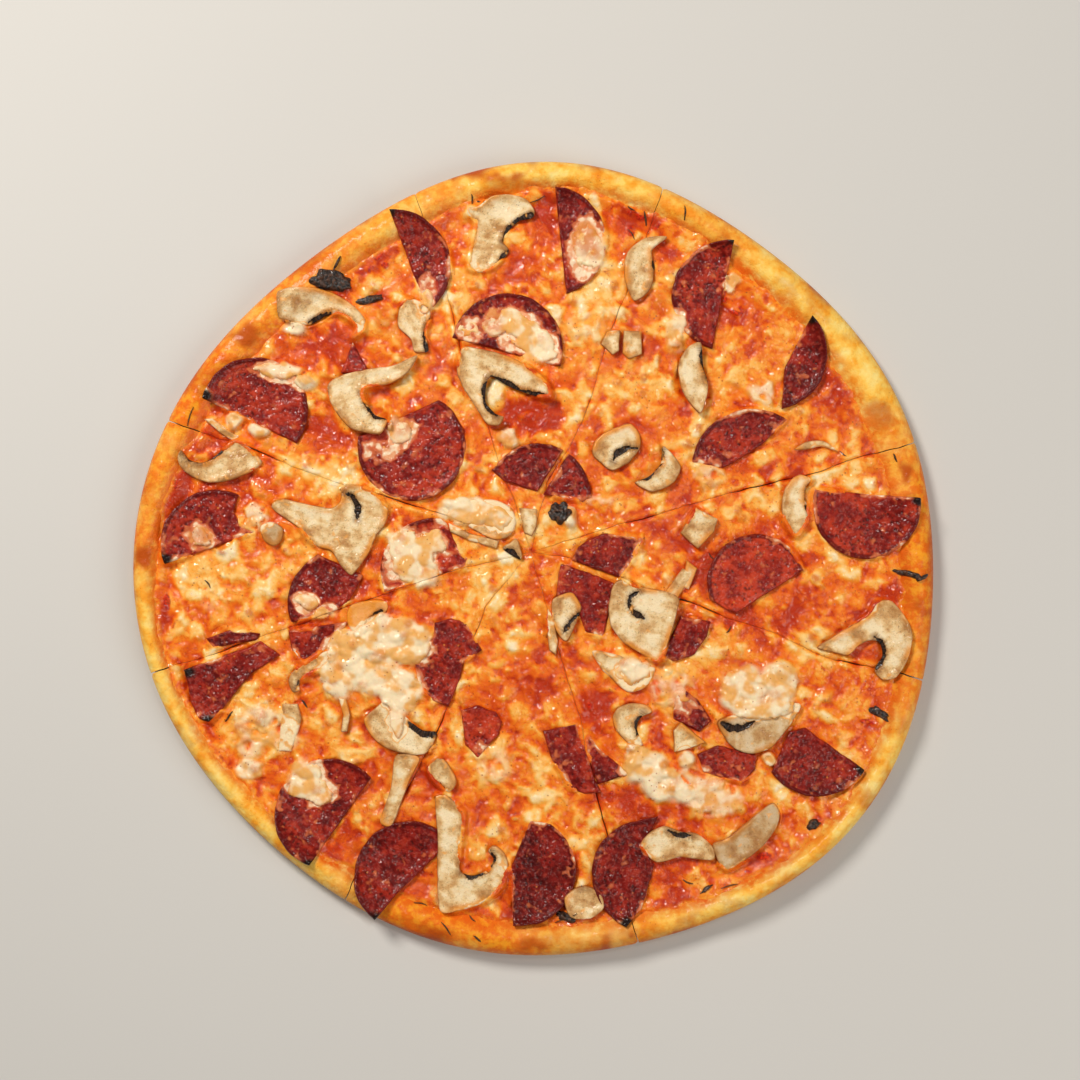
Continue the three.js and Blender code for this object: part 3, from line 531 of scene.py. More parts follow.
def cheese_fields(x, y):
    """What the melted layer is like at each place, mostly from 0 to 1.

    melt is how pale it is, pool how much white cheese lies there, toast how browned it is, sauce
    and tomato how red, and patch how much it swells.
    """
    bend_x, bend_y = noise(x, y, 8, 11, 2), noise(x, y, 8, 12, 2)
    wx = x + 2.6 * bend_x + 1.0 * noise(x, y, 2.8, 13, 2)
    wy = y + 2.6 * bend_y + 1.0 * noise(x, y, 2.8, 14, 2)
    patch_here, pick = patches(wx, wy, 8.0, 21)
    small_patch, small_pick = patches(wx, wy, 3.4, 23)
    broad = noise(x, y, 26, 41, 2)
    middle = noise(wx, wy, 7, 43, 3)
    pale = blobs(wx, wy, PALE, 0.8)
    melt = 0.26 + 0.10 * broad + 0.34 * middle + 0.26 * pale
    melt = melt + 0.32 * patch_here * (0.2 + 0.8 * pick) + 0.08 * small_patch * small_pick
    sauce = blobs(wx, wy, SAUCE, 0.55)
    share = rim_share(x, y)
    edge_sauce = smoothstep(-0.75, -0.15, share) * (0.1 + 0.8 * noise(x, y, 12, 51, 2))
    sauce = np.clip(np.maximum(sauce, 0.8 * edge_sauce) * (1 - 0.4 * patch_here * pick), 0, 1)
    melt = melt - 0.36 * sauce
    near_x, near_y = x + 1.4 * bend_x, y + 1.4 * bend_y
    strand = smoothstep(0.10, 0.5, noise(near_x, near_y, 4.6, 151, 2))
    where_strands = 0.4 + noise(x, y, 16, 153, 2) + 0.5 * pale - 0.6 * sauce
    strand = strand * smoothstep(0.0, 0.5, where_strands)
    blot = smoothstep(0.26, 0.55, noise(near_x, near_y, 3.0, 157, 2))
    melt = melt + 0.27 * strand - 0.19 * blot * (1 - strand)
    px = x + 2.0 * bend_x + 0.9 * noise(x, y, 4, 15)
    py = y + 2.0 * bend_y + 0.9 * noise(x, y, 4, 16)
    pool = blobs(px, py, POOLS, 0.4)
    lace_near = scattered(wx, wy, 4.8, 61)[0]
    lace = smoothstep(0.12, 0.45, lace_near)
    pool = pool * np.where(pool < 0.62, 0.35 + 0.65 * lace, 1.0)
    melt = np.clip(melt * (1 - 0.6 * pool) + 0.6 * pool * (0.7 + 0.25 * patch_here), 0, 1)
    bubble_near, _, bubble_pick = scattered(x, y, 7.0, 71)
    bubble = smoothstep(0.36, 0.12, bubble_near) * (bubble_pick > 0.68)
    bubble = bubble * smoothstep(0.3, 0.55, melt)
    toast = np.maximum(bubble * (1 - 0.5 * pool), blobs(wx, wy, TOASTED, 0.5))
    tomato = blobs(x + 1.6 * bend_x, y + 1.6 * bend_y, TOMATO, 0.4)
    tomato = tomato * smoothstep(-0.5, 0.2, noise(wx, wy, 2.6, 53, 2)) * (1 - pool)
    swelling = 0.7 * patch_here * (0.4 + 0.6 * pick) + 0.2 * small_patch
    swelling = swelling + 0.25 * strand - 0.15 * blot
    return {"melt": melt, "pool": pool, "toast": toast, "sauce": sauce, "tomato": tomato,
            "patch": swelling}


def pool_lumps(x, y):
    """Soft round swellings of thick cheese, from 0 to 1."""
    bend_x, bend_y = 0.9 * noise(x, y, 4, 131), 0.9 * noise(x, y, 4, 132)
    near = scattered(x + bend_x, y + bend_y, 4.8, 133)[0]
    return np.sqrt(np.clip(1 - (near / 0.8) ** 2, 0, 1))


def cheese_relief(x, y, fields):
    """Height of the melted layer above the crust's flat top."""
    pool = fields["pool"]
    soft = 0.45 * noise(x, y, 12, 81, 2) + 0.35 * noise(x, y, 4.2, 83, 2) * (1 - 0.5 * pool)
    soft += 0.17 * noise(x, y, 1.6, 85, 2) * (1 - 0.8 * pool)
    lumps = fields["patch"] + 0.9 * (fields["melt"] - 0.5) + 0.6 * fields["toast"]
    lumps += 0.8 * fields["tomato"] - 0.45 * fields["sauce"]
    lumps += 1.2 * smoothstep(0.1, 0.9, pool) + 1.5 * pool * pool_lumps(x, y)
    return CHEESE_TOP - BASE_TOP - 0.35 + soft + lumps


# ------------------------------------------------------------- mesh building

BLOCK = 3000              # points that are compared with an outline at a time


def closed_samples(outline, step):
    """Points a `step` apart round a closed outline, turning left."""
    ring = np.vstack([outline, outline[:1]])
    lengths = np.hypot(*np.diff(ring, axis=0).T)
    ring = ring[np.concatenate([[True], lengths > 1e-6])]
    along = np.concatenate([[0], np.cumsum(np.hypot(*np.diff(ring, axis=0).T))])
    count = max(8, int(along[-1] / step))
    places = np.linspace(0, along[-1], count, endpoint=False)
    points = np.column_stack([np.interp(places, along, ring[:, k]) for k in (0, 1)])
    x, y = points.T
    area = np.sum(x * np.roll(y, -1) - np.roll(x, -1) * y)
    return points if area > 0 else points[::-1]


def inside(points, ring):
    """Which points lie inside a closed ring, by counting crossings."""
    result = np.zeros(len(points), bool)
    ax, ay = ring.T
    bx, by = np.roll(ring, -1, axis=0).T
    rise = np.where(by == ay, 1e-12, by - ay)
    for start in range(0, len(points), BLOCK):
        x, y = points[start:start + BLOCK].T
        crosses = (ay > y[:, None]) != (by > y[:, None])
        left = x[:, None] < ax + (y[:, None] - ay) * (bx - ax) / rise
        result[start:start + BLOCK] = np.sum(crosses & left, axis=1) % 2 == 1
    return result


def distance_to(points, ring):
    """Distance from each point to the nearest point of a finely sampled ring."""
    result = np.empty(len(points))
    for start in range(0, len(points), BLOCK):
        x, y = points[start:start + BLOCK].T
        gaps = (x[:, None] - ring[:, 0]) ** 2 + (y[:, None] - ring[:, 1]) ** 2
        result[start:start + BLOCK] = np.sqrt(gaps.min(axis=1))
    return result


def hex_points(ring, spacing, seed, margin):
    """A shaken triangular grid of points inside a ring, a margin clear of its edge."""
    low, high = ring.min(axis=0) - spacing, ring.max(axis=0) + spacing
    rows = np.arange(low[1], high[1], spacing * math.sqrt(3) / 2)
    columns = np.arange(low[0], high[0], spacing)
    x, y = np.meshgrid(columns, rows)
    x = x + (np.arange(len(rows))[:, None] % 2) * spacing / 2
    points = np.column_stack([x.ravel(), y.ravel()])
    rng = np.random.default_rng(seed)
    points += rng.uniform(-0.16, 0.16, points.shape) * spacing
    points = points[inside(points, ring)]
    return points[distance_to(points, ring) > margin]


def inner_rows(ring, steps):
    """Copies of a ring moved inwards, for an even edge; points that would crowd are left out."""
    ahead, behind = np.roll(ring, -1, axis=0), np.roll(ring, 1, axis=0)
    along = ahead - behind
    normal = np.column_stack([-along[:, 1], along[:, 0]])
    normal /= np.maximum(np.hypot(*normal.T), 1e-9)[:, None]
    rows = []
    for step in steps:
        moved = ring + normal * step
        rows.append(moved[distance_to(moved, ring) > 0.93 * step])
    return np.vstack(rows)


def triangulate(ring, interior):
    """Triangles over a ring and the points inside it, indexed with the ring's points first."""
    count = len(ring)
    points = [Vector(p) for p in np.vstack([ring, interior])]
    edges = [(k, (k + 1) % count) for k in range(count)]
    _, _, faces, origins, _, _ = delaunay_2d_cdt(points, edges, [], 1, 1e-6)
    index = np.array([min(origin) if origin else -1 for origin in origins])
    triangles = index[np.array([face for face in faces if len(face) == 3])]
    return triangles[(triangles >= 0).all(axis=1)]


def slab(name, ring, top, bottom, spacing, edge_steps, seed, wall_rows=0):
    """A closed piece of food over a ring in the plan, from top(x, y, gap) to bottom(x, y, gap).

    gap is the distance in from the edge, and edge_steps are the gaps at which rows of points
    follow the edge. With wall_rows the side is a wall with that many rows of faces, and the
    underside is coarse. Without, top and bottom meet at the ring.
    """
    margin = edge_steps[-1] + 0.45 * spacing
    interior = np.vstack([inner_rows(ring, edge_steps), hex_points(ring, spacing, seed, margin)])
    upper = triangulate(ring, interior)
    under, lower = interior, upper
    if wall_rows:
        under = hex_points(ring, COARSE_MESH, seed + 1, 0.5 * COARSE_MESH)
        lower = triangulate(ring, under)
    count = len(ring)

    plan_top = np.vstack([ring, interior])
    gap_top = np.concatenate([np.zeros(count), distance_to(interior, ring)])
    plan_under = np.vstack([ring, under]) if wall_rows else under
    gap_under = distance_to(under, ring)
    if wall_rows:
        gap_under = np.concatenate([np.zeros(count), gap_under])
    z_top = top(*plan_top.T, gap_top)
    z_under = bottom(*plan_under.T, gap_under)

    places = [np.column_stack([plan_top, z_top]), np.column_stack([plan_under, z_under])]
    offset = len(plan_top)
    faces = [upper]
    if wall_rows:
        faces.append(lower[:, ::-1] + offset)
        rings = [np.arange(count)]
        made = offset + len(plan_under)
        for row in range(1, wall_rows):
            share = row / wall_rows
            z = z_top[:count] * (1 - share) + z_under[:count] * share
            places.append(np.column_stack([ring, z]))
            rings.append(np.arange(count) + made)
            made += count
        rings.append(np.arange(count) + offset)
        for above, below in zip(rings, rings[1:]):
            b, d = np.roll(above, -1), np.roll(below, -1)
            faces.append(np.column_stack([above, below, b]))
            faces.append(np.column_stack([b, below, d]))
    else:
        shifted = np.where(lower < count, lower, lower - count + offset)
        faces.append(shifted[:, ::-1])
    vertices = np.vstack(places)
    rest = len(vertices) - offset - len(gap_under)
    return {"name": name, "vertices": vertices, "faces": np.vstack(faces),
            "top": np.arange(len(vertices)) < offset,
            "gap": np.concatenate([gap_top, gap_under, np.zeros(rest)])}


def make_piece(shape, material, attributes=None, nodes=()):
    """Turns a slab, or any vertices and faces, into a shaded object that rides on the pizza.

    Of the named nodes it replaces those that the frame has.
    """
    mesh = bpy.data.meshes.new(shape["name"])
    vertices, faces = shape["vertices"] * MM, shape["faces"]
    mesh.vertices.add(len(vertices))
    mesh.vertices.foreach_set("co", vertices.astype(np.float32).ravel())
    mesh.loops.add(faces.size)
    mesh.loops.foreach_set("vertex_index", faces.astype(np.int32).ravel())
    mesh.polygons.add(len(faces))
    mesh.polygons.foreach_set("loop_start", np.arange(0, faces.size, 3, dtype=np.int32))
    mesh.polygons.foreach_set("use_smooth", np.ones(len(faces), bool))
    mesh.update(calc_edges=True)
    mesh.validate()
    for key, values in (attributes or {}).items():
        layer = mesh.attributes.new(key, "FLOAT", "POINT")
        layer.data.foreach_set("value", np.asarray(values, np.float32))
    mesh.materials.append(material)
    piece = bpy.data.objects.new(shape["name"], mesh)
    bpy.context.scene.collection.objects.link(piece)
    nodes = [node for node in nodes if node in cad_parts]
    if nodes:
        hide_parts(*nodes)
    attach(piece, "root")


# ----------------------------------------------------------------- materials

def srgb(red, green, blue):
    """A colour as seen, 0 to 255, as linear light with full alpha."""
    parts = [c / 255 for c in (red, green, blue)]
    linear = [c / 12.92 if c <= 0.04045 else ((c + 0.055) / 1.055) ** 2.4 for c in parts]
    return (*linear, 1.0)


class Finish:
    """A procedural material, built socket by socket."""

    def __init__(self, name):
        self.material = bpy.data.materials.new(name)
        self.material.use_nodes = True
        self.tree = self.material.node_tree
        self.shader = self.tree.nodes["Principled BSDF"]
        self.place = self.tree.nodes.new("ShaderNodeTexCoord").outputs["Object"]

    def put(self, socket, value):
        if isinstance(value, bpy.types.NodeSocket):
            self.tree.links.new(value, socket)
        else:
            socket.default_value = value

    def noise(self, size_mm, detail=2.0, rough=0.5, stretch=0.0):
        node = self.tree.nodes.new("ShaderNodeTexNoise")
        self.put(node.inputs["Vector"], self.place)
        self.put(node.inputs["Scale"], 1 / (size_mm * MM))
        self.put(node.inputs["Detail"], detail)
        self.put(node.inputs["Roughness"], rough)
        self.put(node.inputs["Distortion"], stretch)
        return node.outputs["Fac"]

    def spots(self, size_mm):
        node = self.tree.nodes.new("ShaderNodeTexVoronoi")
        self.put(node.inputs["Vector"], self.place)
        self.put(node.inputs["Scale"], 1 / (size_mm * MM))
        return node.outputs["Distance"]

    def value(self, name):
        node = self.tree.nodes.new("ShaderNodeAttribute")
        node.attribute_name = name
        return node.outputs["Fac"]

    def math(self, operation, a, b=0.0, clamp=False):
        node = self.tree.nodes.new("ShaderNodeMath")
        node.operation = operation
        node.use_clamp = clamp
        self.put(node.inputs[0], a)
        self.put(node.inputs[1], b)
        return node.outputs[0]

    def plus(self, a, b):
        return self.math("ADD", a, b)

    def times(self, a, b):
        return self.math("MULTIPLY", a, b)

    def range(self, value, low, high, to_low=0.0, to_high=1.0):
        node = self.tree.nodes.new("ShaderNodeMapRange")
        node.interpolation_type = "SMOOTHSTEP"
        keys = ("Value", "From Min", "From Max", "To Min", "To Max")
        for key, number in zip(keys, (value, low, high, to_low, to_high)):
            self.put(node.inputs[key], number)
        return node.outputs[0]

    def ramp(self, value, stops):
        node = self.tree.nodes.new("ShaderNodeValToRGB")
        band = node.color_ramp
        while len(band.elements) < len(stops):
            band.elements.new(0.5)
        for element, (place, colour) in zip(band.elements, stops):
            element.position = place
            element.color = colour
        self.put(node.inputs["Fac"], value)
        return node.outputs["Color"]

    def mix(self, share, a, b):
        node = self.tree.nodes.new("ShaderNodeMix")
        node.data_type = "RGBA"
        self.put(node.inputs[0], share)
        self.put(node.inputs[6], a)
        self.put(node.inputs[7], b)
        return node.outputs[2]

    def lines(self, size_mm, width):
        """Thin winding lines: 1 on them and 0 beside them."""
        level = self.math("SUBTRACT", self.noise(size_mm, 3.0, 0.55, 0.6), 0.5)
        return self.range(self.math("ABSOLUTE", level), 0.0, width, 1.0, 0.0)

    def bump(self, height, depth_mm, gloss, gloss_depth_mm):
        """Fine relief: one for the food itself and a smoother one for the oil on it."""
        rows = ((height, depth_mm, "Normal"), (gloss, gloss_depth_mm, "Coat Normal"))
        for level, depth, socket in rows:
            node = self.tree.nodes.new("ShaderNodeBump")
            self.put(node.inputs["Distance"], depth * MM)
            self.put(node.inputs["Height"], level)
            self.put(self.shader.inputs[socket], node.outputs["Normal"])

    def strokes(self, name, size_mm):
        """Noise that runs along a distance kept in an attribute, for fine lines across it."""
        node = self.tree.nodes.new("ShaderNodeTexNoise")
        node.noise_dimensions = "1D"
        self.put(node.inputs["W"], self.value(name))
        self.put(node.inputs["Scale"], 1 / size_mm)
        self.put(node.inputs["Detail"], 2.0)
        return node.outputs["Fac"]

    def coat(self, weight, roughness):
        self.put(self.shader.inputs["Coat Weight"], weight)
        self.put(self.shader.inputs["Coat Roughness"], roughness)

    def milk(self):
        """How thickly cheese covers a topping: its film, broken up smoothly."""
        smear = self.math("SUBTRACT", self.noise(3.6, 1.5, 0.5, 0.3), 0.5)
        return self.plus(self.value("film"), self.times(smear, 1.5))

    def done(self, colour, roughness, specular=0.5, soft=0.0, soft_radius=(1.0, 0.5, 0.25),
             reach_mm=1.0):
        self.put(self.shader.inputs["Base Color"], colour)
        self.put(self.shader.inputs["Roughness"], roughness)
        self.put(self.shader.inputs["Specular IOR Level"], specular)
        if soft:
            self.put(self.shader.inputs["Subsurface Weight"], soft)
            self.put(self.shader.inputs["Subsurface Radius"], soft_radius)
            self.put(self.shader.inputs["Subsurface Scale"], reach_mm * MM)
        return self.material


def cheese_finish():
    f = Finish("melted_cheese")
    grain = f.noise(0.9, 3.0, 0.6)
    wide = f.noise(2.6, 3.0, 0.6, 0.5)
    smooth = f.noise(6.0, 1.5, 0.5)
    pool = f.value("pool")
    veins = f.times(f.lines(5.0, 0.024), f.range(pool, 0.3, 0.95, 0.6, 0.2))
    melt = f.plus(f.value("melt"), f.range(grain, 0.3, 0.7, -0.025, 0.025))
    melt = f.plus(melt, f.range(wide, 0.3, 0.7, -0.06, 0.06))
    melt = f.math("SUBTRACT", melt, f.times(veins, 0.14), clamp=True)
    colour = f.ramp(melt, [
        (0.0, srgb(186, 48, 3)), (0.14, srgb(214, 76, 6)), (0.28, srgb(234, 106, 13)),
        (0.42, srgb(245, 140, 32)), (0.56, srgb(251, 174, 70)), (0.72, srgb(253, 204, 122)),
        (1.0, srgb(254, 236, 196)),
    ])
    white = f.mix(f.range(smooth, 0.40, 0.58), srgb(236, 176, 98), srgb(248, 229, 191))
    white = f.mix(f.times(veins, 0.8), white, srgb(236, 156, 70))
    colour = f.mix(f.range(pool, 0.15, 0.8, 0.0, 0.92), colour, white)
    toasted = f.times(f.value("toast"), f.range(wide, 0.32, 0.55))
    colour = f.mix(f.times(toasted, 0.8), colour, srgb(208, 104, 28))
    speck = f.range(f.spots(2.3), 0.2, 0.08)
    dots = f.times(speck, f.range(f.noise(8.0, 1.0), 0.46, 0.56))
    colour = f.mix(f.times(dots, 0.65), colour, srgb(150, 56, 10))
    red = f.mix(f.range(grain, 0.4, 0.6), srgb(150, 10, 0), srgb(216, 44, 6))
    colour = f.mix(f.range(f.value("tomato"), 0.25, 0.7, 0.0, 0.9), colour, red)
    crust = f.mix(f.range(wide, 0.4, 0.6), srgb(232, 106, 18), srgb(250, 156, 44))
    colour = f.mix(f.times(f.value("crust_tint_and_edge_highlight"), 0.9), colour, crust)
    sunk_veins = f.times(veins, -0.3)
    bumps = f.times(f.plus(f.times(grain, 0.4), sunk_veins), f.range(pool, 0.2, 0.9, 1.0, 0.35))
    f.bump(bumps, 0.4, f.plus(f.noise(2.0, 1.0, 0.4), sunk_veins), 0.9)
    f.coat(0.6, 0.08)
    return f.done(colour, f.range(melt, 0.1, 0.8, 0.35, 0.5), 0.15, soft=0.1,
                  soft_radius=(1.0, 0.45, 0.18), reach_mm=1.2)


def crust_finish():
    f = Finish("baked_crust")
    wide = f.noise(11.0, 3.0, 0.55)
    mid = f.noise(3.2, 4.0, 0.6)
    fine = f.noise(0.7, 3.0, 0.6)
    gold = f.ramp(f.plus(f.times(wide, 0.6), f.times(mid, 0.4)), [
        (0.36, srgb(255, 226, 136)), (0.48, srgb(255, 204, 92)), (0.58, srgb(252, 172, 50)),
        (0.72, srgb(238, 134, 24)),
    ])
    orange = f.mix(f.range(mid, 0.35, 0.6), srgb(250, 160, 34), srgb(236, 112, 12))
    colour = f.mix(f.value("deep"), gold, orange)
    colour = f.mix(f.range(f.value("brown"), 0.1, 0.9), colour, srgb(190, 80, 10))
    stain = f.times(f.value("stain"), f.range(mid, 0.30, 0.55, 0.35, 1.0))
    colour = f.mix(stain, colour, srgb(228, 98, 14))
    speck = f.times(f.range(f.spots(1.7), 0.18, 0.06), f.range(wide, 0.5, 0.6))
    colour = f.mix(f.times(speck, 0.5), colour, srgb(176, 84, 22))
    under = f.mix(f.range(mid, 0.35, 0.68), srgb(228, 176, 108), srgb(158, 96, 46))
    colour = f.mix(f.value("under"), colour, under)
    crumb = f.mix(f.range(fine, 0.4, 0.65), srgb(250, 224, 168), srgb(232, 186, 118))
    colour = f.mix(f.value("crumb"), colour, crumb)
    pores = f.plus(f.times(mid, 1.4), f.times(fine, 0.5))
    f.bump(pores, 0.5, f.noise(3.0, 1.5), 0.5)
    f.coat(0.18, 0.2)
    return f.done(colour, f.range(mid, 0.3, 0.7, 0.4, 0.6), 0.12)


def salami_finish():
    f = Finish("baked_salami")
    pebble = f.noise(1.7, 2.0, 0.5)
    blotch = f.noise(6.0, 3.0, 0.55)
    shade = f.plus(f.range(blotch, 0.3, 0.7, 0.0, 0.5), f.times(f.value("tone"), 0.5))
    colour = f.ramp(shade, [
        (0.1, srgb(84, 3, 2)), (0.5, srgb(136, 22, 12)), (0.9, srgb(200, 60, 26)),
    ])
    # Pink on the raised grain is painted sheen, and near-black in the low places between the grains
    # is painted shade; both follow the noise that the bump uses.
    colour = f.mix(f.range(pebble, 0.5, 0.7, 0.0, 0.32), colour, srgb(196, 80, 62))
    colour = f.mix(f.range(pebble, 0.48, 0.34, 0.0, 0.4), colour, srgb(60, 0, 0))
    # The pits are painted near-black: painted shade in the holes.
    colour = f.mix(f.times(f.value("pit"), 0.85), colour, srgb(30, 0, 0))
    fat = f.times(f.range(f.spots(3.2), 0.16, 0.07), f.range(f.noise(6.0, 1.0), 0.5, 0.58))
    colour = f.mix(f.times(fat, 0.7), colour, srgb(220, 130, 60))
    # Dark red for the casing at the round edge, and a little darker along every edge, the cut ones
    # too, as painted shade.
    colour = f.mix(f.range(f.value("casing_and_edge_shade"), 0.2, 0.9, 0.0, 0.8), colour, srgb(88, 2, 2))
    # A lighter line right at the edge: painted highlight.
    colour = f.mix(f.times(f.value("crust_tint_and_edge_highlight"), 0.5), colour, srgb(170, 54, 34))
    milk = f.milk()
    colour = f.mix(f.range(milk, 0.16, 0.4, 0.0, 0.8), colour, srgb(216, 112, 66))
    cream = f.mix(f.range(f.noise(2.6, 1.0), 0.4, 0.55), srgb(232, 164, 118), srgb(248, 220, 184))
    cream = f.mix(f.range(f.value("toast"), 0.2, 0.7), cream, srgb(222, 142, 74))
    colour = f.mix(f.range(milk, 0.42, 0.66, 0.0, 0.95), colour, cream)
    colour = f.mix(f.range(f.value("char"), 0.1, 0.8), colour, srgb(26, 7, 4))
    f.bump(f.plus(pebble, f.times(f.noise(0.6, 1.0), 0.2)), 0.6, f.noise(1.5, 1.0), 0.8)
    f.coat(0.42, 0.12)
    return f.done(colour, f.range(pebble, 0.35, 0.7, 0.4, 0.6), 0.1)


def mushroom_finish():
    f = Finish("baked_mushroom")
    wide = f.noise(6.0, 3.0, 0.55)
    fine = f.noise(0.7, 3.0, 0.6)
    mottle = f.plus(f.times(wide, 0.86), f.times(f.value("fibre"), 0.14))
    mottle = f.plus(mottle, f.range(f.value("core"), 0.0, 1.0, -0.08, 0.03))
    colour = f.ramp(mottle, [
        (0.34, srgb(184, 130, 74)), (0.44, srgb(214, 168, 110)), (0.52, srgb(236, 202, 148)),
        (0.62, srgb(247, 224, 182)),
    ])
    grey = f.times(f.range(fine, 0.54, 0.68), f.range(wide, 0.6, 0.42, 0.2, 0.6))
    colour = f.mix(grey, colour, srgb(140, 104, 64))
    freckle = f.times(f.range(f.spots(1.5), 0.2, 0.08), f.range(f.noise(5.0, 1.0), 0.45, 0.6))
    colour = f.mix(f.times(freckle, 0.5), colour, srgb(120, 76, 40))
    colour = f.mix(f.value("amber"), colour, srgb(238, 146, 38))
    colour = f.mix(f.value("tan"), colour, srgb(150, 98, 50))
    comb = f.strokes("travelled", 0.6)
    fade = f.range(f.value("gill_gap"), 0.7, 2.6, 0.75, 0.0)
    colour = f.mix(f.times(fade, f.range(comb, 0.35, 0.65, 0.3, 1.0)), colour, srgb(122, 82, 50))
    colour = f.mix(f.range(f.value("skin"), 0.15, 0.9, 0.0, 0.9), colour, srgb(176, 100, 38))
    gill_dark = f.mix(f.range(comb, 0.42, 0.62), srgb(18, 9, 5), srgb(66, 42, 26))
    colour = f.mix(f.range(f.value("gill"), 0.35, 0.65), colour, gill_dark)
    milk = f.milk()
    creamy = f.mix(f.range(milk, 0.36, 0.56), srgb(240, 166, 80), srgb(252, 228, 184))
    colour = f.mix(f.range(milk, 0.2, 0.42, 0.0, 0.9), colour, creamy)
    f.bump(f.plus(fine, f.times(wide, 0.8)), 0.35, f.noise(1.6, 1.0), 0.5)
    f.coat(0.3, 0.14)
    return f.done(colour, f.range(fine, 0.3, 0.7, 0.4, 0.56), 0.15, soft=0.06, reach_mm=1.0)


def charred_finish():
    f = Finish("charred")
    grain = f.noise(1.2, 3.0)
    # Brown on the raised grain and near-black in its hollows: partly the scrap's own colour, partly
    # painted highlight on the tops.
    colour = f.mix(f.range(grain, 0.42, 0.68), srgb(24, 13, 8), srgb(88, 54, 34))
    f.bump(grain, 0.9, f.noise(1.5, 1.0), 0.7)
    f.coat(0.3, 0.15)
    return f.done(colour, f.range(grain, 0.3, 0.7, 0.35, 0.6))


def herb_finish():
    f = Finish("dried_herb")
    colour = f.mix(f.range(f.noise(0.7), 0.4, 0.6), srgb(44, 28, 10), srgb(96, 62, 22))
    return f.done(colour, 0.6)


# -------------------------------------------------------------------- slices

CENTRE = to_plan([CUT_MIDDLE])[0]


def to_centre(x, y):
    """Distance to the point where the cuts meet."""
    return np.hypot(x - CENTRE[0], y - CENTRE[1])


def cut_path(cut, step):
    """Points along a cut, a little unsteady, from where the cuts meet out past the rim."""
    points = to_plan([CUT_MIDDLE, *cut])
    along = np.concatenate([[0], np.cumsum(np.hypot(*np.diff(points, axis=0).T))])
    places = np.concatenate([[0.07, 0.2, 0.45], np.arange(0.8, along[-1], step)])
    path = np.column_stack([np.interp(places, along, points[:, k]) for k in (0, 1)])
    smooth = np.hanning(11)[1:-1]
    smooth /= smooth.sum()
    padded = np.vstack([np.repeat(path[:1], 4, axis=0), path, np.repeat(path[-1:], 4, axis=0)])
    softened = np.column_stack([np.convolve(padded[:, k], smooth, "valid") for k in (0, 1)])
    path += (softened - path) * smoothstep(2, 8, places)[:, None]
    x, y = path.T
    wander = 0.9 * noise(x, y, 15, 101) + 0.35 * noise(x, y, 4, 103, 2)
    return path + path_across(path) * (wander * smoothstep(2, 14, places))[:, None]


def path_across(path):
    """Unit vectors to the left of a path."""
    along = np.gradient(path, axis=0)
    along /= np.hypot(*along.T)[:, None]
    return np.column_stack([-along[:, 1], along[:, 0]])


def cut_side(path, sign, width):
    return path + sign * path_across(path) * width[:, None]


def slice_ring(number, edge, width, step):
    """The outline of one slice: out along its first cut, round the edge, and back in."""
    kept = []
    for cut, sign in ((number, 1), ((number + 1) % len(CUTS), -1)):
        path = cut_path(CUTS[cut], step)
        side = cut_side(path, sign, width(*path.T, CUT_OPEN[cut]))
        within = np.hypot(*side.T) < edge(np.arctan2(side[:, 1], side[:, 0])) - 0.35 * step
        kept.append(side[:np.argmin(within)])
    start = math.atan2(*kept[0][-1][::-1])
    end = math.atan2(*kept[1][-1][::-1])
    end += 2 * math.pi if end < start else 0
    count = int((end - start) * PIZZA_RADIUS / step)
    angles = np.linspace(start, end, count + 1)[1:-1]
    arc = np.column_stack([edge(angles) * np.cos(angles), edge(angles) * np.sin(angles)])
    return np.vstack([kept[0], arc, kept[1][::-1]])


def cheese_edge(angle):
    x, y = PIZZA_RADIUS * np.cos(angle), PIZZA_RADIUS * np.sin(angle)
    ragged = 1.6 * noise(x, y, 14, 91, 2) + 1.0 * noise(x, y, 4.5, 93, 2)
    return outline_radius(angle) - 0.9 * rim_width(angle) + ragged


def in_cheese(x, y):
    """How far in each place is from the melted cheese's edge."""
    return cheese_edge(np.arctan2(y, x)) - np.hypot(x, y)


def thinning(x, y):
    """The share of its full height that the cheese has, as it runs out towards its edge."""
    return np.sqrt(np.clip(in_cheese(x, y) / 10.0, 0, 1))


def healed(x, y):
    """How far the melted cheese has closed a cut, from 0 to 1."""
    near_centre = smoothstep(60, 25, to_centre(x, y))
    return np.maximum(smoothstep(-0.55, 0.12, noise(x, y, 13, 95, 2)), 0.9 * near_centre)


def from_centre(x, y):
    """0 at the point where the cuts meet and 1 a little way out."""
    return smoothstep(0.5, 20, to_centre(x, y))


def closing(x, y):
    """Narrows the cuts to nothing over the last bit before they meet."""
    return np.clip(to_centre(x, y) / 0.6, 0.02, 1)


def cheese_cut_width(x, y, openness):
    gape = 0.02 + 0.34 * openness * (1 - healed(x, y))
    return 0.02 * closing(x, y) + gape * from_centre(x, y)


def crust_cut_width(x, y, openness):
    return 0.04 * closing(x, y) + (0.03 + 0.2 * openness) * from_centre(x, y)


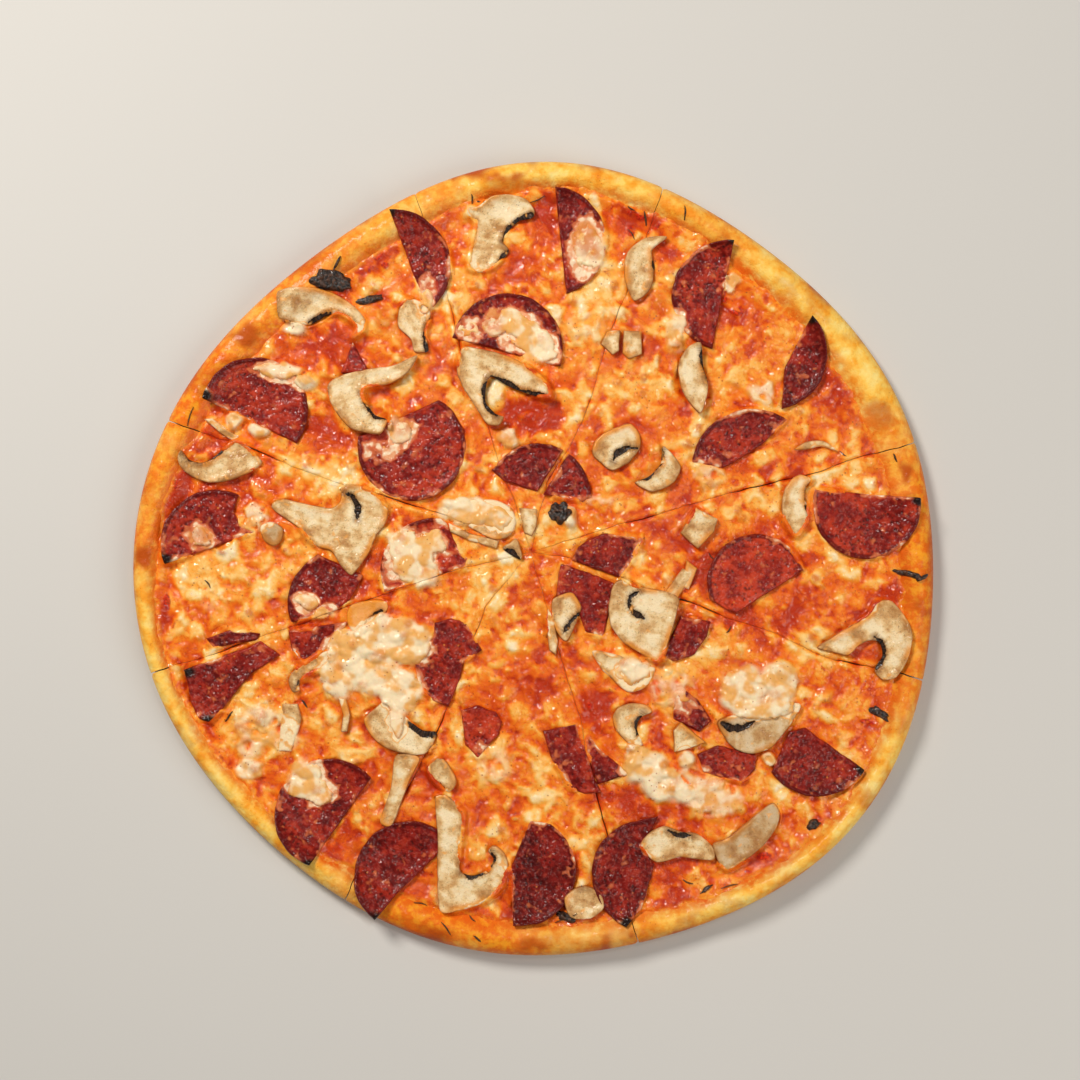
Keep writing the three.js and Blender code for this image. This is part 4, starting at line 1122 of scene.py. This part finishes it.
# Browned places of the rim: [place, half width, half height in mm, amount].
BROWN_SPOTS = [
    (247, 338, 6, 4, 0.8), (146, 558, 4, 5, 0.9), (878, 415, 5, 6, 0.6), (505, 188, 9, 5, 0.45),
    (470, 170, 8, 4, 0.4), (906, 476, 3, 5, 0.8), (905, 600, 6, 12, 0.3), (925, 640, 5, 12, 0.25),
    (640, 930, 14, 4, 0.4), (560, 940, 22, 4, 0.4), (700, 905, 14, 5, 0.15), (210, 760, 5, 8, 0.2),
    (290, 855, 8, 6, 0.1), (160, 640, 4, 8, 0.1), (860, 800, 6, 8, 0.15), (930, 560, 4, 14, 0.4),
    (405, 922, 12, 4, 0.4), (330, 250, 10, 4, 0.3), (152, 500, 3, 9, 0.3), (432, 930, 9, 4, 0.6),
    (215, 330, 6, 5, 0.3),
]

# Where the rim baked to a deeper orange: [direction and half width in degrees, amount].
DEEP_STRETCHES = [
    (2, 20, 1.0), (62, 12, 0.4), (110, 10, 0.45), (130, 16, 0.9), (153, 13, 1.0), (172, 10, 0.85),
    (256, 16, 1.0), (282, 12, 0.4), (346, 11, 0.8),
]


def make_crust(number, material):
    """One slice's dough, with the raised rim, the sides that the cuts show and the underside."""
    ring = slice_ring(number, outline_radius, crust_cut_width, CRUST_MESH)
    shape = slab(f"crust_slice_{number + 1}", ring, lambda x, y, gap: crust_top(x, y),
                 lambda x, y, gap: 0 * x, CRUST_MESH, CRUST_EDGE, 200 + number, wall_rows=5)
    x, y, z = shape["vertices"].T
    share = rim_share(x, y)
    on_top = shape["top"]
    low = np.clip((RIM_SIDE - z) / RIM_SIDE, 0, 1)
    tuck = UNDER_TUCK * (1 - np.sqrt(np.clip(1 - low**2, 0, 1)))
    tuck = tuck * smoothstep(0.45, 0.98, share) * ~on_top
    scale = 1 - tuck / np.hypot(x, y).clip(1)
    shape["vertices"] = np.column_stack([x * scale, y * scale, z])
    wall = ~on_top & (z > 0.01)
    at_cut = wall & (share < 0.985)
    stain = smoothstep(0.40, 0.08, share + 0.14 * noise(x, y, 5, 307, 2))
    stain = stain * (0.75 + 0.4 * noise(x, y, 7, 301, 2))
    around = np.degrees(np.arctan2(y, x))
    brown = blobs(x + 2 * noise(x, y, 5, 303), y + 2 * noise(x, y, 5, 304), BROWN_SPOTS, 0.6)
    brown += 0.4 * smoothstep(0.1, 0.6, noise(x, y, 9, 305, 3)) * smoothstep(0.1, 0.5, share)
    side = 0.2 + 0.45 * noise(around * 2.56, 2.5 * z, 9, 311, 3) + 0.5 * smoothstep(2.6, 0.0, z)
    brown = np.where(wall, 0.2 * brown + side, brown + 0.3 * smoothstep(0.8, 1.0, share))
    deep = np.zeros(len(x))
    for middle, half_width, amount in DEEP_STRETCHES:
        reach = np.abs((around - middle + 180) % 360 - 180) / half_width
        deep = np.maximum(deep, amount * smoothstep(1.4, 0.4, reach))
    deep = deep + 0.35 * noise(x, y, 12, 309, 2)
    attributes = {
        "brown": np.clip(brown, 0, 1), "stain": np.clip(stain, 0, 1) * on_top,
        "under": (z < 0.6) * 1.0, "crumb": at_cut * 1.0, "deep": np.clip(deep, 0, 1) * ~at_cut,
    }
    make_piece(shape, material, attributes, [f"crust_{number + 1}"])


def topping_masks(x, y, toppings):
    """Where toppings are: cover and lap, 0 to 1, and the lowest underside and highest top.

    Cover says that a topping lies on the cheese there, and lap that cheese runs over its edge.
    """
    cover, lap = np.zeros(len(x)), np.zeros(len(x))
    floor, roof = np.full(len(x), 99.0), np.zeros(len(x))
    points = np.column_stack([x, y])
    lap_reach = LAP_WIDTH * smoothstep(0.1, 0.6, noise(x, y, 12, 121))
    for piece in toppings:
        ring = piece["ring"]
        low, high = ring.min(axis=0) - LAP_WIDTH, ring.max(axis=0) + LAP_WIDTH
        index = np.nonzero(((points > low) & (points < high)).all(axis=1))[0]
        if not len(index):
            continue
        within = inside(points[index], ring)
        gap = distance_to(points[index], ring) * np.where(within, 1, -1)
        reach = lap_reach[index]
        cover[index] = np.maximum(cover[index], smoothstep(0.0, 0.9, gap))
        meniscus = np.where(gap < 0, smoothstep(-MENISCUS, 0.0, gap),
                            smoothstep(reach + 0.5, reach - 0.5, gap))
        lap[index] = np.maximum(lap[index], meniscus * smoothstep(0.3, 1.0, reach))
        seat = piece["seat"](x[index], y[index])
        floor[index] = np.minimum(floor[index], np.where(gap > 0, seat, 99.0))
        top = seat + piece["thickness"]
        roof[index] = np.maximum(roof[index], np.where(gap > -MENISCUS, top, 0))
    return cover, lap, floor, roof


def make_cheese(number, material, toppings):
    """One slice's melted cheese and sauce, cut through at both sides."""
    ring = slice_ring(number, cheese_edge, cheese_cut_width, CHEESE_MESH)

    def cut_lips(x, y, gap):
        """The drawn-up lip and the sunk edge along the cuts, from 0 to 1."""
        inner = smoothstep(1.5, 4, in_cheese(x, y)) * from_centre(x, y)
        lip_here = smoothstep(-0.15, 0.3, noise(x, y, 8, 110 + number))
        lip = lip_here * inner * np.exp(-(((gap - 1.3) / 0.9) ** 2))
        edge = inner * (1 - 0.85 * healed(x, y)) * np.exp(-((gap / 0.6) ** 2))
        return lip, edge

    def top(x, y, gap):
        fields = cheese_fields(x, y)
        thin = thinning(x, y)
        lip, edge = cut_lips(x, y, gap)
        relief = cheese_relief(x, y, fields) + 0.35 * lip - 0.7 * edge
        base = crust_top(x, y) - 0.5 * smoothstep(2.0, 0.0, in_cheese(x, y))
        height = base + relief * thin
        cover, lap, floor, roof = topping_masks(x, y, toppings)
        sunk = np.minimum(height, floor - 0.1)
        height = height * (1 - cover) + sunk * cover
        pooled = smoothstep(0.32, 0.56, fields["pool"]) * (cover > 0)
        over = np.maximum(pooled, lap * thin)
        poured = roof + 0.1 + fields["pool"] * (0.3 + 1.2 * pool_lumps(x, y))
        poured = poured + 0.3 * fields["patch"]
        height = np.where((over > 0) & (roof > 0), height * (1 - over) + poured * over, height)
        return np.maximum(height, base + 0.03)

    shape = slab(f"cheese_slice_{number + 1}", ring, top, lambda x, y, gap: crust_top(x, y) - 0.6,
                 CHEESE_MESH, CHEESE_EDGE, 400 + number, wall_rows=3)
    x, y, _ = shape["vertices"].T
    fields = cheese_fields(x, y)
    lip, edge = cut_lips(x, y, shape["gap"])
    # Paler on the drawn-up lip of cheese, and darker along the sunk edge of an open cut as painted
    # shade in the crease.
    fields["melt"] = np.clip(fields["melt"] + 0.15 * lip - 0.2 * edge, 0, 1)
    fields["crust_tint_and_edge_highlight"] = smoothstep(2.6, 0.4, in_cheese(x, y))
    make_piece(shape, material, fields, [f"cheese_{number + 1}"])


def surface_height(x, y):
    """The top of what lies at each place: rim, cheese or topping."""
    height = crust_top(x, y) + cheese_relief(x, y, cheese_fields(x, y)) * thinning(x, y)
    points = np.column_stack([x, y])
    for piece in raised_toppings:
        top = piece["seat"](x, y) + piece["thickness"]
        height = np.where(inside(points, piece["ring"]), top, height)
    return height


# ------------------------------------------------------------ topping pieces

def ready_topping(piece, kind, seed):
    """Works out a topping's fine outline and the height that it lies at."""
    piece["seed"] = seed
    ring = closed_samples(piece["outline"], 0.5)
    amount = 0.3 if kind == "salami" else 0.22
    out = ring - ring.mean(axis=0)
    out /= np.hypot(*out.T)[:, None]
    ring = ring + out * (amount * noise(*ring.T, 3.2, seed, 2))[:, None]
    piece["ring"] = closed_samples(ring, 0.5)
    piece["thickness"] = SALAMI_THICKNESS if kind == "salami" else MUSHROOM_THICKNESS
    lift = piece.get("lift", 0) - piece.get("sink", 0)
    middle = ring.mean(axis=0)
    slope = 0.035 * (own_number(seed, 1) - 0.5)
    direction = 2 * math.pi * own_number(seed, 2)

    def seat(x, y):
        lean = slope * turned(x - middle[0], y - middle[1], direction)[0]
        wave = 0.3 * noise(x, y, 11, seed + 3)
        rise = 0
        for tip in piece.get("tips", ()):
            tx, ty = to_plan([tip])[0]
            rise = rise + TIP_RISE * smoothstep(9, 0, np.hypot(x - tx, y - ty)) ** 2
        return seat_height(x, y) + lift + lean + wave + rise

    piece["seat"] = seat
    return piece


def film_on(x, y, gap):
    """Thin melted cheese and oil on a topping: round the pools that cover it and at its edges."""
    wx, wy = x + 1.4 * noise(x, y, 5, 501), y + 1.4 * noise(x, y, 5, 502)
    wider = [(*place, 1.15 * width, 1.15 * height, amount)
             for *place, width, height, amount in POOLS]
    pooled = blobs(wx, wy, wider, 0.3)
    edge = smoothstep(2.4, 0.3, gap) * smoothstep(0.0, 0.5, noise(x, y, 12, 121))
    return np.maximum(pooled, 0.45 * edge)


def make_salami(name, piece, material):
    seed, thickness = piece["seed"], piece["thickness"]
    turn = math.pi * own_number(seed, 4)
    pit_share = piece.get("pits", 0.35)

    def round_edge(x, y):
        """1 at the sausage's round outside and 0 well inside it."""
        if "middle" not in piece:
            return 0 * x
        reach = np.hypot(x - piece["middle"][0], y - piece["middle"][1])
        return smoothstep(piece["radius"] - 5, piece["radius"], reach)

    def pit_field(x, y):
        near, _, pick = scattered(x, y, 1.6, seed + 2)
        return smoothstep(0.4, 0.12, near) * (pick < pit_share) * (noise(x, y, 7, seed + 6) > -0.1)

    def top(x, y, gap):
        edge = rounded(gap, 0.55)
        ridge = 0.3 * np.exp(-(((gap - 0.8) / 0.5) ** 2))
        along, across = turned(x, y, turn)
        wrinkles = 0.22 * noise(along / 3, across, 1.7, seed + 5, 2)
        texture = 0.13 * noise(x, y, 1.1, seed, 2) + 0.35 * noise(x, y, 4.5, seed + 1, 2)
        curl = CURL * round_edge(x, y) ** 2 * (0.6 + 0.6 * noise(x, y, 9, seed + 7))
        return (piece["seat"](x, y) + thickness * (0.5 + 0.5 * edge) + curl
                + edge * (texture + wrinkles + ridge - 0.35 * pit_field(x, y)))

    def bottom(x, y, gap):
        return piece["seat"](x, y) + thickness * (0.5 - 0.5 * rounded(gap, 0.5))

    shape = slab(name.replace("salami", "salami_slice"), piece["ring"], top, bottom,
                 TOPPING_MESH, TOPPING_EDGE, seed)
    x, y, _ = shape["vertices"].T
    # The casing's band at the round edge, with painted shade along all edges.
    casing_and_edge_shade = np.maximum(0.35 * smoothstep(1.2, 0.3, shape["gap"]),
                        smoothstep(0.55, 0.9, round_edge(x, y)))
    char = np.zeros(len(x))
    for tip in piece.get("tips", ()):
        tx, ty = to_plan([tip])[0]
        reach = np.hypot(x - tx, y - ty) + noise(x, y, 2.5, seed + 4)
        char = np.maximum(char, smoothstep(5.0, 0.4, reach))
    attributes = {
        "casing_and_edge_shade": casing_and_edge_shade, "film": film_on(x, y, shape["gap"]), "char": char,
        # a lighter line right at the edge of the salami: painted highlight
        "crust_tint_and_edge_highlight": smoothstep(0.34, 0.0, shape["gap"]), "toast": blobs(x, y, TOASTED, 0.4),
        "pit": pit_field(x, y) * (shape["gap"] > 0.5),
        "tone": np.full(len(x), piece.get("tone", 0.2 + 0.5 * own_number(seed, 3))),
    }
    make_piece(shape, material, attributes, [name])


def along_lines(x, y, lines):
    """Distance from each place to the nearest of the listed grid lines, and how far along it is."""
    best, travelled = np.full(len(x), 99.0), np.zeros(len(x))
    start = 0.0
    for line in lines:
        points = to_plan(line)
        for (ax, ay), (bx, by) in zip(points, points[1:]):
            dx, dy = bx - ax, by - ay
            length = math.hypot(dx, dy)
            t = np.clip(((x - ax) * dx + (y - ay) * dy) / length**2, 0, 1)
            gap = np.hypot(x - ax - t * dx, y - ay - t * dy)
            travelled = np.where(gap < best, start + t * length, travelled)
            best = np.minimum(best, gap)
            start += length
    return best, travelled


def make_mushroom(name, piece, material):
    seed, thickness = piece["seed"], piece["thickness"]
    gills = piece.get("gills", [])
    half = piece.get("gill_width", GILL_WIDTH) / 2
    turn = math.pi * own_number(seed, 4)

    def gill_mask(x, y):
        gap, travelled = along_lines(x, y, gills)
        ragged = 0.4 * noise(travelled, 0 * travelled, 1.0, seed + 5, 2)
        ragged += 0.5 * noise(travelled, 0 * travelled, 4.5, seed + 9)
        ends = to_plan([line[k] for line in gills for k in (0, -1)])
        from_end = np.min([np.hypot(x - ex, y - ey) for ex, ey in ends], axis=0) if gills else 0
        tapered = gap + ragged + 0.7 * smoothstep(3.5, 0.0, from_end)
        return smoothstep(half + 0.35, half - 0.2, tapered)

    def fibres(x, y):
        along, across = turned(x, y, turn)
        return noise(along / 5, across, 1.2, seed + 8, 2)

    def top(x, y, gap):
        edge = rounded(gap, 0.7)
        texture = 0.3 * noise(x, y, 4.5, seed, 2) + 0.07 * noise(x, y, 1.1, seed + 2, 2)
        texture = texture + 0.08 * fibres(x, y) - 0.4 * smoothstep(0.6, 4.0, gap)
        return (piece["seat"](x, y) + thickness * (0.5 + 0.5 * edge)
                + edge * (texture - GILL_DEPTH * gill_mask(x, y)))

    def bottom(x, y, gap):
        return piece["seat"](x, y) + thickness * (0.5 - 0.5 * rounded(gap, 0.6))

    shape = slab(name.replace("mushroom", "mushroom_cut"), piece["ring"], top, bottom,
                 0.85 * TOPPING_MESH, TOPPING_EDGE, seed)
    x, y, _ = shape["vertices"].T
    gap, travelled = along_lines(x, y, gills)
    amber = smoothstep(0.1, 0.5, noise(x, y, 7, seed + 6)) * smoothstep(3.0, 0.4, shape["gap"])
    attributes = {
        "gill": gill_mask(x, y), "gill_gap": np.minimum(gap, 20), "travelled": travelled,
        "core": smoothstep(0.3, 3.2, shape["gap"]),
        "skin": smoothstep(0.6, 0.0, shape["gap"]) * (0.7 + 0.5 * noise(x, y, 5, seed + 7)),
        "film": film_on(x, y, shape["gap"]), "fibre": 0.5 + 0.5 * fibres(x, y),
        "amber": np.clip(amber * 0.75 + piece.get("amber", 0), 0, 1),
        "tan": np.full(len(x), float(piece.get("tan", 0))),
    }
    make_piece(shape, material, attributes, [name])


def make_charred(number, row, material):
    """A crumpled burnt scrap."""
    place, length, width, direction, height = row
    cx, cy = to_plan([place])[0]
    turn = math.radians(direction)
    angles = np.linspace(0, 2 * math.pi, 60, endpoint=False)
    reach = 1 + 0.4 * noise(np.cos(angles) * 3, np.sin(angles) * 3, 1.6, 600 + number, 2)
    u, v = reach * np.cos(angles) * length / 2, reach * np.sin(angles) * width / 2
    x, y = turned(u, v, -turn)
    ring = closed_samples(np.column_stack([cx + x, cy + y]), 0.3)

    def top(x, y, gap):
        dome = np.sqrt(np.clip(gap / (width * 0.3), 0, 1))
        crumple = 0.5 + 0.45 * np.abs(noise(x, y, 3.0, 610 + number, 2)) / 0.4
        return surface_height(x, y) + 0.25 + 0.8 * height * dome * np.clip(crumple, 0.3, 1.3)

    def bottom(x, y, gap):
        return surface_height(x, y) - 0.3 + 0.55 * np.exp(-gap)

    shape = slab(f"charred_bit_{number + 1}", ring, top, bottom, 0.4, (0.12,), 620 + number)
    make_piece(shape, material)


def make_herbs(material):
    """All the dried herb flakes and twigs, as one piece of thin bent strips."""
    vertices, faces = [], []
    rows = 7
    for number, (start, end) in enumerate(HERBS):
        a, b = to_plan([start, end])
        along = b - a
        across = np.array([-along[1], along[0]]) / np.hypot(*along)
        for row in range(rows):
            t = row / (rows - 1)
            bend = HERB_BEND * math.sin(t * math.pi + number)
            middle = a + along * t + across * bend
            half = HERB_WIDTH * math.sin(math.pi * (0.12 + 0.76 * t)) * (0.7 + 0.25 * (number % 3))
            z = float(surface_height(*middle[:, None])[0]) + 0.2
            for side, up in ((-1, 0.0), (0, 0.3), (1, 0.0), (0, -0.22)):
                vertices.append([*(middle + across * half * side), z + up])
        base = len(vertices) - rows * 4
        for row in range(rows - 1):
            for k in range(4):
                p, q = base + row * 4 + k, base + row * 4 + (k + 1) % 4
                faces += [[p, q, p + 4], [q, q + 4, p + 4]]
        last = base + (rows - 1) * 4
        faces += [[base, base + 2, base + 1], [base, base + 3, base + 2]]
        faces += [[last, last + 1, last + 2], [last, last + 2, last + 3]]
    shape = {"name": "dried_herbs", "vertices": np.array(vertices), "faces": np.array(faces)}
    make_piece(shape, material)


# ---------------------------------------------------------------- the pizza

for kind, first_seed, pieces in (("salami", 1000, SALAMI), ("mushroom", 3000, MUSHROOMS)):
    for order, item in enumerate(pieces.values()):
        ready_topping(item, kind, first_seed + 10 * order)
raised_toppings = [*SALAMI.values(), *[m for m in MUSHROOMS.values() if not m.get("sink")]]

salami_material = salami_finish()
mushroom_material = mushroom_finish()
cheese_material = cheese_finish()
crust_material = crust_finish()
charred_material = charred_finish()

for slice_number in range(len(CUTS)):
    make_crust(slice_number, crust_material)
    make_cheese(slice_number, cheese_material, raised_toppings)
for node_name, item in SALAMI.items():
    make_salami(node_name, item, salami_material)
for node_name, item in MUSHROOMS.items():
    make_mushroom(node_name, item, mushroom_material)
for order, charred_row in enumerate(CHARRED):
    make_charred(order, charred_row, charred_material)
make_herbs(herb_finish())


# ---------------------------------------------------- floor, light and camera

FLOOR_SIZE = 8000.0
FLOOR_HEIGHT = -0.02

# Round area lights: [name, place and diameter in metres, watts, colour].
WARM_WHITE = (1.0, 0.95, 0.88)
LIGHTS = [
    ("key_light", (-0.5, 0.6, 0.85), 0.32, 10.4, WARM_WHITE),
    ("fill_light", (0.75, -0.4, 0.75), 0.8, 4.9, WARM_WHITE),
    ("glint_light", (0.22, 0.30, 1.15), 0.09, 1.1, (1.0, 1.0, 1.0)),
]
ROOM_COLOUR = (1.0, 0.97, 0.93, 1)
ROOM_STRENGTH = 0.17

CAMERA_DISTANCE = 0.75
CAMERA_ELEVATION = 89
CAMERA_AIM = (2.5, 6.3, 8)
SEEN_WIDTH = 1080 * MM_PER_GRID / 1.005     # mm across the picture at the aim
SENSOR_WIDTH = 36


def make_floor():
    finish = Finish("pale_floor")
    colour = finish.mix(finish.noise(400.0, 1.0), srgb(206, 204, 200), srgb(214, 212, 208))
    ends = (-FLOOR_SIZE / 2 * MM, FLOOR_SIZE / 2 * MM)
    corners = [(x, y, FLOOR_HEIGHT * MM) for y in ends for x in ends]
    mesh = bpy.data.meshes.new("floor")
    mesh.from_pydata(corners, [], [(0, 1, 3, 2)])
    mesh.materials.append(finish.done(colour, 0.8, 0.2))
    floor = bpy.data.objects.new("floor", mesh)
    bpy.context.scene.collection.objects.link(floor)


def aimed(name, data, place, aim):
    """A light or camera at a place, looking at another."""
    item = bpy.data.objects.new(name, data)
    item.location = place
    item.rotation_euler = (aim - place).to_track_quat("-Z", "Y").to_euler()
    bpy.context.scene.collection.objects.link(item)
    return item


def make_lights():
    for name, place, size, power, colour in LIGHTS:
        data = bpy.data.lights.new(name, "AREA")
        data.shape = "DISK"
        data.size = size
        data.energy = power
        data.color = colour
        aimed(name, data, Vector(place), Vector((0, 0, 0)))
    world = bpy.data.worlds.new("soft_room")
    world.use_nodes = True
    background = world.node_tree.nodes["Background"]
    background.inputs["Color"].default_value = ROOM_COLOUR
    background.inputs["Strength"].default_value = ROOM_STRENGTH
    bpy.context.scene.world = world


def make_camera():
    """Looks almost straight down, as a person does who leans over the table."""
    aim = Vector(CAMERA_AIM) * MM
    elevation = math.radians(CAMERA_ELEVATION)
    data = bpy.data.cameras.new("camera")
    data.sensor_width = SENSOR_WIDTH
    data.lens = SENSOR_WIDTH * CAMERA_DISTANCE / (SEEN_WIDTH * MM)
    back = Vector((0, -math.cos(elevation), math.sin(elevation)))
    bpy.context.scene.camera = aimed("camera", data, aim + back * CAMERA_DISTANCE, aim)


make_floor()
make_lights()
make_camera()
bpy.context.scene.view_settings.view_transform = "Standard"
